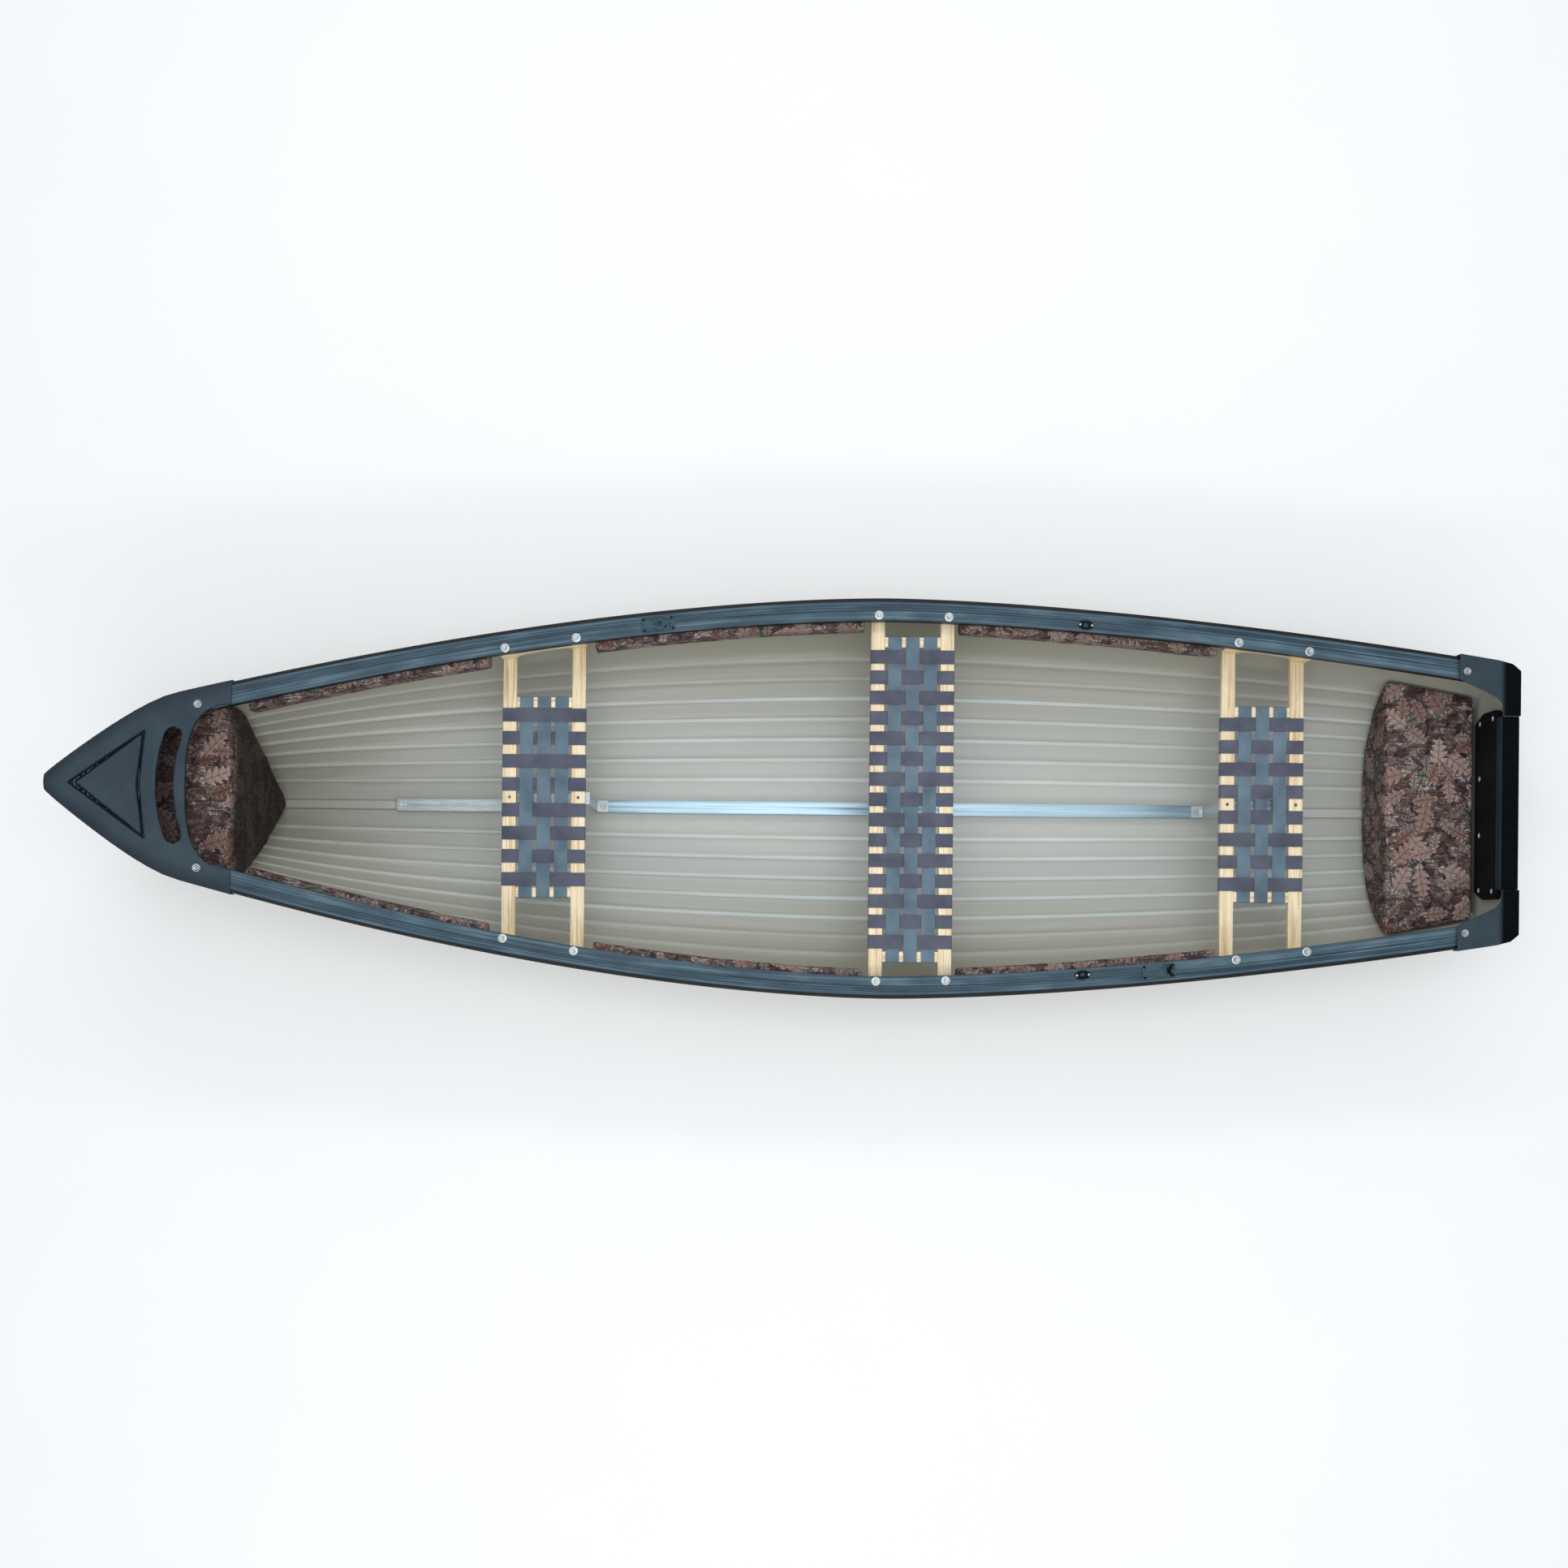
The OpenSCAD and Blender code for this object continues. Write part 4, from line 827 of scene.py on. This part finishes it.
# The sides are mixed darker and more khaki.
outward = sums(hull_finish, "ABSOLUTE", add(hull_finish, "SeparateXYZ", {0: place}).outputs[1])
outward = add(hull_finish, "MapRange", {"Value": outward, "From Min": 0.20, "From Max": 0.50}).outputs[0]
tone = mix(hull_finish, sums(hull_finish, "MULTIPLY", outward, 0.85), tone, paint(146, 141, 121))
# Painted highlight on the flute tops and the ridge, broken by streaks and strongest amidships.
crest = add(hull_finish, "Attribute", {}, attribute_name="crest").outputs["Fac"]
streak = noise(hull_finish, coordinates(hull_finish, (2, 9, 9)), 1.6, 4)
highlight_streaks = ramp(hull_finish, streak, (0.35, grey(0.45)), (0.65, grey(0.9)))
paler_share = sums(hull_finish, "MULTIPLY", crest, highlight_streaks)
paler_share = sums(hull_finish, "MULTIPLY", paler_share, sums(hull_finish, "MULTIPLY_ADD", amidships, 0.55, 0.35))
tone = mix(hull_finish, paler_share, tone, paint(216, 226, 224))
wire(hull_finish, tone, shader, "Base Color")
wave = noise(hull_finish, coordinates(hull_finish, (3, 8, 8)), 1.4, 2)
bump(hull_finish, shader, wave, 0.004, 0.5)
bump(hull_finish, shader, noise(hull_finish, place, 700, 2), 0.0002, 0.25)
scuff = noise(hull_finish, coordinates(hull_finish, (6, 60, 60)), 3, 4)
wire(hull_finish, ramp(hull_finish, scuff, (0.4, grey(0.32)), (0.7, grey(0.44))), shader, "Roughness")
dress(hull_finish, hull)
print(hull_finish.name, "shader nodes:", len(hull_finish.node_tree.nodes))

# %% [markdown]
# The deck and caps are the same plastic in slate, with a fine pebble. Two attributes of the deck's
# mesh carry painted shade into its groove and onto its sloping rim. The aft band of the caps, which
# slopes down, is painted nearly black as shade, and so is the whole top of the transom cap but for
# its fore edge. Dark places also shine less.

# %% Deck and caps
deck_finish, shader = start("slate_moulding", Roughness=0.5, Specular_IOR_Level=0.3)
place = coordinates(deck_finish)
tone = ramp(
    deck_finish, noise(deck_finish, place, 9, 4), (0.3, paint(34, 52, 62)), (0.7, paint(50, 69, 80))
)
fine = ramp(deck_finish, noise(deck_finish, place, 420, 2), (0.35, grey(0)), (0.65, grey(0.35)))
tone = mix(deck_finish, fine, tone, paint(20, 30, 38))
# Painted shade on the rim, where the deck curves down.
rim_shade = add(deck_finish, "Attribute", {}, attribute_name="rim").outputs["Fac"]
tone = mix(deck_finish, sums(deck_finish, "MULTIPLY", rim_shade, 0.75), tone, paint(16, 24, 40))
# Painted shade in the groove.
deck_groove_shade = add(deck_finish, "Attribute", {}, attribute_name="sunk").outputs["Fac"]
tone = mix(deck_finish, sums(deck_finish, "MULTIPLY", deck_groove_shade, 0.92), tone, paint(6, 8, 14))
axes = add(deck_finish, "SeparateXYZ", {0: place}).outputs
# Painted shade: the caps' aft band, which slopes down, and the transom cap's top go near black.
aft_shade = sums(deck_finish, "SUBTRACT", axes[0], stern_x - 0.058)
aft_shade = sums(deck_finish, "MULTIPLY", aft_shade, 70.0, clamp=True)
cap_low, cap_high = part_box("transom_cap")
off_centre = sums(deck_finish, "ABSOLUTE", axes[1])
along = axes[0]
on_cap = sums(deck_finish, "LESS_THAN", off_centre, cap_high.y + 0.0005)
on_cap = sums(deck_finish, "MULTIPLY", on_cap, sums(deck_finish, "GREATER_THAN", along, cap_low.x + 0.003))
aft_shade = sums(deck_finish, "MAXIMUM", aft_shade, on_cap)
tone = mix(deck_finish, aft_shade, tone, paint(4, 7, 10))
wire(deck_finish, tone, shader, "Base Color")
dull_share = sums(deck_finish, "MAXIMUM", deck_groove_shade, aft_shade)
wire(deck_finish, sums(deck_finish, "MULTIPLY_ADD", dull_share, -0.25, 0.3), shader, "Specular IOR Level")
bump(deck_finish, shader, noise(deck_finish, place, 900, 3), 0.0003, 0.5)
dress(deck_finish, deck, *stern_caps)
print(deck_finish.name, "shader nodes:", len(deck_finish.node_tree.nodes))

# %% [markdown]
# The gunwales are drawn through a die, which leaves pale streaks along them, and their grooves are
# painted with shade. Their outer lip is black; the faces below the top, the inner face and the legs,
# take the same black as painted shade. So those faces take a second finish.

# %% Gunwales
gunwale_finish, shader = start("slate_extrusion", Roughness=0.45, Specular_IOR_Level=0.35)
place = coordinates(gunwale_finish)
across = add(gunwale_finish, "Attribute", {}, attribute_name="across").outputs["Fac"]
along = add(gunwale_finish, "SeparateXYZ", {0: place}).outputs[0]
drawn = add(gunwale_finish, "CombineXYZ", {0: along, 1: across}).outputs[0]
drawn_long = add(gunwale_finish, "Mapping", {"Vector": drawn, "Scale": (0.8, 60, 1)}).outputs[0]
drawn_short = add(gunwale_finish, "Mapping", {"Vector": drawn, "Scale": (4, 16, 1)}).outputs[0]
streaks = noise(gunwale_finish, drawn_long, 2.5, 2, 0.3)
blotches = noise(gunwale_finish, drawn_short, 2.0, 3)
tone = ramp(
    gunwale_finish, sums(gunwale_finish, "MULTIPLY_ADD", streaks, 0.6, sums(
        gunwale_finish, "MULTIPLY", blotches, 0.4)),
    (0.36, paint(40, 61, 74)), (0.5, paint(58, 82, 96)), (0.68, paint(98, 120, 132)),
)
# Painted shade in the three grooves: a cosine, darkest at each groove's middle.
from_groove = sums(gunwale_finish, "SUBTRACT", across, groove_middles[0])
groove_pitch = groove_middles[1] - groove_middles[0]
turns = sums(gunwale_finish, "MULTIPLY", from_groove, 2 * math.pi / groove_pitch)
grooves = sums(gunwale_finish, "COSINE", turns)
grooves = ramp(gunwale_finish, grooves, (0, grey(0)), (1, grey(0.35)))
grooved = ramp(
    gunwale_finish, across, (0.015, grey(0)), (0.018, grey(1)), (0.036, grey(1)), (0.039, grey(0))
)
grooves = sums(gunwale_finish, "MULTIPLY", grooved, grooves)
tone = mix(gunwale_finish, grooves, tone, paint(24, 38, 48))
wire(gunwale_finish, tone, shader, "Base Color")
bump(gunwale_finish, shader, streaks, 0.0005, 0.5)
lip_and_shade_finish, shader = start("black_lip_and_shade", Roughness=0.4, Specular_IOR_Level=0.3)
tone = ramp(
    lip_and_shade_finish, noise(lip_and_shade_finish, coordinates(lip_and_shade_finish, (2, 40, 40)), 3),
    (0.3, paint(4, 6, 8)), (0.7, paint(14, 17, 21)),
)
wire(lip_and_shade_finish, tone, shader, "Base Color")
# The lip is black of its own; below the top, the inner face and legs take that black as painted shade.
for piece in gunwales:
    dress(gunwale_finish, piece)
    piece.data.materials.append(lip_and_shade_finish)
    for face in piece.data.polygons:
        x, y, z = face.center
        inward = half_beam(x) - abs(y)
        if inward < lip_w + 0.0005 or z < sheer(x) - 0.0046:
            face.material_index = 1
print("plastic finishes:", hull_finish.name, deck_finish.name, gunwale_finish.name, lip_and_shade_finish.name)

# %% [markdown]
# ## The leaf print
# The cloth on the foam is printed with dead leaves over bark. A Voronoi texture gives each leaf a
# cell of its own with a random colour, which is used as the leaf's turn and tint. Inside the cell
# the leaf is drawn by sums: its half-width swells along its length and is cut into lobes, and
# slanted lines make the veins. The cloth is folded over the block's edge, so the print's flat
# coordinates follow it over the edge: one runs along the boat and then down the face. A block's
# upright faces get little light, so painted shade darkens the print there.


# %% The leaf print
def leaves(finish, flat, size, lobes, slim, shift):
    """Leaves of one kind: where they are, how dark their veins are, their rim, and a random colour."""
    moved = add(finish, "VectorMath", {0: flat, 1: shift}).outputs[0]
    cells = add(
        finish, "TexVoronoi", {"Vector": moved, "Scale": 1 / size, "Randomness": 0.8},
        voronoi_dimensions="2D",
    )
    chance = add(finish, "SeparateColor", {0: cells.outputs["Color"]}).outputs
    local = add(finish, "VectorMath", {0: moved, 1: cells.outputs["Position"]}, operation="SUBTRACT")
    turn = sums(finish, "MULTIPLY", chance[0], 2 * math.pi)
    turned = add(
        finish, "VectorRotate", {"Vector": local.outputs[0], "Angle": turn}, rotation_type="Z_AXIS"
    )
    axes = add(finish, "SeparateXYZ", {0: turned.outputs[0]}).outputs
    half = size * 0.46
    along = sums(finish, "DIVIDE", axes[0], half)
    across = sums(finish, "ABSOLUTE", axes[1])
    swept = sums(finish, "MULTIPLY_ADD", across, -0.8 / half, along)
    cut = sums(finish, "ABSOLUTE", sums(finish, "SINE", sums(finish, "MULTIPLY", swept, lobes)))
    swell = sums(finish, "SUBTRACT", 1.0, sums(finish, "POWER", sums(finish, "ABSOLUTE", along), 2.2))
    width = sums(finish, "MULTIPLY", sums(finish, "MULTIPLY_ADD", cut, 0.55, 0.35), swell)
    inside = sums(finish, "MULTIPLY_ADD", width, half * slim, sums(finish, "MULTIPLY", across, -1.0))
    mask = sums(finish, "MULTIPLY", inside, 1500.0, clamp=True)
    rim = sums(finish, "SUBTRACT", mask, sums(finish, "MULTIPLY", inside, 380.0, clamp=True), clamp=True)
    side_vein = sums(finish, "GREATER_THAN", sums(
        finish, "SINE", sums(finish, "MULTIPLY", swept, lobes * 2.0)), 0.93)
    middle_vein = sums(finish, "LESS_THAN", across, 0.0011)
    vein = sums(finish, "MAXIMUM", side_vein, middle_vein)
    return mask, vein, rim, chance


# %% [markdown]
# The ground under the leaves is bark: a coarse noise gives blotches, one stretched along the bark
# gives furrows, and a bent line gives twigs. Four kinds of leaf are then laid over each other.


# %% Printed cloth
def leaf_print(name, x_share, y_share, z_share, foot, top, hood=-9.0):
    """Printed cloth laid flat as x + x_share z and y_share y + z_share z, with painted shade low and under
    the hood.
    """
    finish, shader = start(name, Roughness=0.6, Specular_IOR_Level=0.25)
    place = add(finish, "SeparateXYZ", {0: add(finish, "TexCoord", {}).outputs["Object"]}).outputs
    first = sums(finish, "MULTIPLY_ADD", place[2], x_share, place[0])
    second = sums(finish, "MULTIPLY_ADD", place[2], z_share, sums(finish, "MULTIPLY", place[1], y_share))
    flat = add(finish, "CombineXYZ", {0: first, 1: second}).outputs[0]
    ground = noise(finish, flat, 34, 6, 1.2)
    colour = ramp(
        finish, ground, (0.32, paint(30, 22, 23)), (0.43, paint(70, 56, 54)), (0.50, paint(126, 108, 104)),
        (0.56, paint(80, 64, 62)), (0.64, paint(178, 170, 166)), (0.72, paint(110, 90, 86)),
    )
    bark_place = add(finish, "Mapping", {"Vector": flat, "Scale": (16, 150, 1)}).outputs[0]
    bark = ramp(finish, noise(finish, bark_place, 1.0, 4, 0.8), (0.42, grey(1)), (0.52, grey(0)))
    colour = mix(finish, sums(finish, "MULTIPLY", bark, 0.75), colour, paint(40, 26, 27))
    twig_place = add(finish, "Mapping", {"Vector": flat, "Scale": (5, 13, 1), "Rotation": (0, 0, 0.5)})
    twig = noise(finish, twig_place.outputs[0], 1.0, 3, 2.0)
    twig = ramp(finish, twig, (0.47, grey(0)), (0.49, grey(1)), (0.52, grey(1)), (0.54, grey(0)))
    colour = mix(finish, sums(finish, "MULTIPLY", twig, 0.8), colour, paint(84, 52, 46))
    kinds = (
        (0.060, 7.0, 0.60, (3.1, 1.7, 0), (86, 62, 56), (160, 144, 138), 0.30),
        (0.075, 12.0, 0.40, (0.3, 5.2, 0), (42, 62, 46), (84, 104, 84), 0.66),
        (0.110, 8.0, 0.56, (7.7, 2.9, 0), (146, 112, 100), (190, 166, 156), 0.22),
        (0.085, 8.0, 0.54, (4.4, 9.1, 0), (118, 76, 62), (178, 152, 142), 0.40),
    )
    mottle = noise(finish, flat, 110, 4)
    for size, lobes, slim, shift, dark, light, rarity in kinds:
        mask, vein, rim, chance = leaves(finish, flat, size, lobes, slim, shift)
        present = sums(finish, "GREATER_THAN", chance[2], rarity)
        body = mix(finish, chance[1], paint(*dark), paint(*light))
        body = mix(finish, sums(finish, "MULTIPLY", mottle, 0.5), body, paint(64, 44, 42))
        body = mix(finish, sums(finish, "MULTIPLY", rim, 0.8), body, paint(222, 208, 200))
        body = mix(finish, sums(finish, "MULTIPLY", vein, 0.7), body, paint(44, 28, 27))
        colour = mix(finish, sums(finish, "MULTIPLY", mask, present), colour, body)
    # Painted shade: darker low on the upright faces, and on the bow block under the deck's hood.
    heights = {"Value": place[2], "From Min": foot[0], "From Max": top[0]}
    heights.update({"To Min": foot[1], "To Max": top[1]})
    colour = mix(finish, add(finish, "MapRange", heights).outputs[0], colour, paint(20, 12, 10))
    hood_shade = {"Value": place[0], "From Min": hood - 0.025, "From Max": hood + 0.025}
    hood_shade.update({"To Min": 0.6, "To Max": 0.0})
    colour = mix(finish, add(finish, "MapRange", hood_shade).outputs[0], colour, paint(14, 8, 8))
    wire(finish, colour, shader, "Base Color")
    bump(finish, shader, noise(finish, flat, 45, 5, 1.5), 0.004, 0.5)
    weave = noise(finish, add(finish, "Mapping", {"Vector": flat, "Scale": (900, 900, 1)}).outputs[0], 1, 1)
    bump(finish, shader, weave, 0.0002, 0.5)
    return finish


# %% [markdown]
# Each piece of foam takes the print that is folded over its own edges.

# %% Dressing the foam
bow_top, stern_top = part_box("bow_foam_block")[1].z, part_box("stern_foam_block")[1].z
# The bow and stern prints get painted shade below their tops; the side strips are darkened evenly.
foot, top = (bow_top - 0.050, 0.85), (bow_top - 0.010, 0.12)
bow_print = leaf_print("leaf_print_bow", -1, 1, 0, foot, top, bow_x + 0.312)
foot, top = (stern_top - 0.040, 0.22), (stern_top - 0.010, 0.0)
stern_print = leaf_print("leaf_print_stern", 1, 1, 0, foot, top)
strip_prints = {
    1: leaf_print("leaf_print_starboard", 0, 1, 1, (0, 0.15), (1, 0.15)),
    -1: leaf_print("leaf_print_port", 0, -1, 1, (0, 0.15), (1, 0.15)),
}
for piece in foam_pieces:
    if "bow" in piece.name:
        dress(bow_print, piece)
    elif "stern" in piece.name:
        dress(stern_print, piece)
    else:
        dress(strip_prints[-1 if "port" in piece.name else 1], piece)
print("printed pieces:", len(foam_pieces))

# %% [markdown]
# ## Wood, webbing and metal
# The seats are ash. Its grain is a set of long bands, bent by noise and stretched along each
# piece, with fine dark pores.


# %% Wood
def ash(name, stretch):
    """Varnished ash with its grain along the axis that is stretched least."""
    finish, shader = start(name, Roughness=0.34, Coat_Weight=0.25, Coat_Roughness=0.2)
    place = coordinates(finish, stretch)
    bands = noise(finish, place, 1.0, 5, 1.2)
    tone = ramp(
        finish, bands, (0.30, paint(204, 174, 130)), (0.45, paint(236, 214, 174)),
        (0.56, paint(246, 230, 196)), (0.68, paint(218, 190, 144)),
    )
    pores = noise(finish, coordinates(finish, [s * 6 for s in stretch]), 1.0, 3)
    tone = mix(finish, ramp(finish, pores, (0.60, grey(0)), (0.72, grey(0.55))), tone, paint(150, 116, 76))
    wire(finish, tone, shader, "Base Color")
    bump(finish, shader, pores, 0.0003, 0.3)
    return finish


ash_across = ash("ash_across", (70, 2.5, 70))
ash_along = ash("ash_along", (2.5, 70, 70))
print("wood:", ash_across.name, ash_along.name)

# %% [markdown]
# The webbing is a plain weave of thick yarns, which shows as small ribs both ways. Two wave
# textures multiplied give the ribs, and a noise wears the colour a little.


# %% Woven straps
def webbing(name, dark, light):
    """Woven polypropylene strap."""
    finish, shader = start(name, Roughness=0.58, Specular_IOR_Level=0.35, Sheen_Weight=0.15)
    place = coordinates(finish)
    ribs = [
        add(
            finish, "TexWave", {"Vector": place, "Scale": scale, "Distortion": 0.4, "Detail Scale": 3},
            bands_direction=axis,
        ).outputs["Fac"]
        for axis, scale in (("X", 190), ("Y", 190))
    ]
    weave = sums(finish, "MULTIPLY", *ribs)
    paler_share = noise(finish, place, 14, 5)
    value = sums(finish, "MULTIPLY_ADD", weave, 0.35, sums(finish, "MULTIPLY", paler_share, 0.8))
    wire(finish, ramp(finish, value, (0.25, paint(*dark)), (0.75, paint(*light))), shader, "Base Color")
    bump(finish, shader, weave, 0.0006, 0.6)
    return finish


long_web = webbing("webbing_slate", (70, 89, 103), (116, 138, 153))
cross_web = webbing("webbing_plum", (62, 65, 80), (100, 103, 119))
for (seat, direction), piece in webs.items():
    dress(long_web if direction == "long" else cross_web, piece)
print("dressed webs:", len(webs))

# %% [markdown]
# Aluminium has fine lines along the way it was drawn, and steel is turned. The nylon parts are
# black with a fine pebble and a slightly paler mottle.


# %% Metal and nylon
def drawn_metal(name, stretch, dark, light, rough):
    """Bare metal with fine lines along the way it was drawn or brushed."""
    finish, shader = start(name, Metallic=1.0, Roughness=rough)
    lines = noise(finish, coordinates(finish, stretch), 1.0, 4)
    wire(finish, ramp(finish, lines, (0.35, paint(*dark)), (0.65, paint(*light))), shader, "Base Color")
    bump(finish, shader, lines, 0.0002, 0.3)
    return finish


def nylon(name, level):
    """Black moulded nylon with a fine pebble and a slightly paler mottle."""
    finish, shader = start(name, Roughness=0.55, Specular_IOR_Level=0.12)
    place = coordinates(finish)
    tone = ramp(finish, noise(finish, place, 60, 4), (0.3, paint(level, level + 2, level + 4)),
                (0.75, paint(level + 12, level + 15, level + 17)))
    wire(finish, tone, shader, "Base Color")
    bump(finish, shader, noise(finish, place, 1400, 2), 0.0002, 0.4)
    return finish


aluminium = drawn_metal("drawn_aluminium", (6, 700, 700), (166, 194, 208), (194, 218, 230), 0.42)
dull_aluminium = drawn_metal("dull_aluminium", (30, 300, 300), (182, 190, 192), (208, 214, 214), 0.55)
steel = drawn_metal("stainless_steel", (500, 500, 500), (168, 172, 174), (204, 208, 210), 0.38)
# Painted shade for the inside of the drivers' recesses: a dark metal.
recess_shade_finish, shader = start("driver_recess_shade", Metallic=1.0, Roughness=0.5)
tone = noise(recess_shade_finish, coordinates(recess_shade_finish), 900)
tone = ramp(recess_shade_finish, tone, (0.3, paint(40, 44, 48)), (0.7, paint(60, 64, 68)))
wire(recess_shade_finish, tone, shader, "Base Color")
black_nylon = nylon("black_nylon", 6)
clip_nylon, shader = start("slate_nylon", Roughness=0.55, Specular_IOR_Level=0.2)
tone = noise(clip_nylon, coordinates(clip_nylon, (14, 60, 14)), 2.0, 4)
tone = ramp(clip_nylon, tone, (0.35, paint(46, 68, 78)), (0.65, paint(64, 88, 98)))
wire(clip_nylon, tone, shader, "Base Color")
bump(clip_nylon, shader, noise(clip_nylon, coordinates(clip_nylon), 1400, 2), 0.0002, 0.4)
print("metals:", aluminium.name, dull_aluminium.name, steel.name)

# %% [markdown]
# Every hard part now gets its finish by its name. Fasteners also carry a darker one, painted
# shade which shows only inside the driver's recess.

# %% Dressing the hard parts
for node, piece in hard_parts.items():
    if "bar_" in node and "screws" not in node:
        dress(ash_across, piece)
    elif "rails" in node or "truss" in node:
        dress(ash_along, piece)
    elif node == "keel_tube_main":
        dress(aluminium, piece)
    elif node.startswith("keel"):
        dress(dull_aluminium, piece)
    elif node == "transom_board" or "socket" in node or node == "clip_port":
        dress(black_nylon, piece)
    elif node in ("clip_starboard", "clip_base_starboard", "clip_base_port"):
        dress(clip_nylon, piece)
    elif node == "clip_base_screws":
        dress(black_nylon, piece)
        piece.data.materials.append(recess_shade_finish)
    else:
        dress(steel, piece)
        piece.data.materials.append(recess_shade_finish)
print("dressed hard parts:", len(hard_parts))

# %% [markdown]
# ## Floor and light
# The boat stands on a pale floor under a large soft light, with a wide pale sky all round. The sky
# does most of the lighting, so the shadows stay soft. A long low strip on either side gives each
# flute and each rounded edge its own thin highlight.

# %% Floor and light
bpy.ops.mesh.primitive_plane_add(size=60, location=(0, 0, cad_low.z))
floor = bpy.context.object
floor.name = "floor"
floor_finish, shader = start("pale_floor", Roughness=0.9, Specular_IOR_Level=0.2)
unevenly_pale = noise(floor_finish, coordinates(floor_finish), 3)
tone = ramp(floor_finish, unevenly_pale, (0, grey(0.94)), (1, grey(0.96)))
wire(floor_finish, tone, shader, "Base Color")
dress(floor_finish, floor)

world = bpy.data.worlds.new("sky")
bpy.context.scene.world = world
world.use_nodes = True
world.node_tree.nodes["Background"].inputs["Color"].default_value = (0.94, 0.97, 1.0, 1.0)
world.node_tree.nodes["Background"].inputs["Strength"].default_value = 0.78


def soft_light(name, location, size, watts, colour):
    """A wide flat lamp that hangs over the boat and faces its middle line."""
    bpy.ops.object.light_add(type="AREA", location=location)
    light = bpy.context.object
    light.name = name
    light.data.shape = "RECTANGLE"
    light.data.size, light.data.size_y = size
    light.data.energy = watts
    light.data.color = colour
    aim = Vector((location[0], 0, 0.2)) - light.location
    light.rotation_euler = aim.to_track_quat("-Z", "Y").to_euler()
    return light


soft_light("overhead", (0.1, 0.0, 5.9), (4.0, 2.6), 60, (0.92, 0.97, 1.0))
soft_light("starboard_strip", (0.0, 3.4, 3.4), (5.0, 0.5), 34, (0.94, 0.98, 1.0))
soft_light("port_strip", (0.0, -3.4, 3.4), (5.0, 0.5), 34, (1.0, 0.99, 0.97))
print("lights:", len(bpy.data.lights))
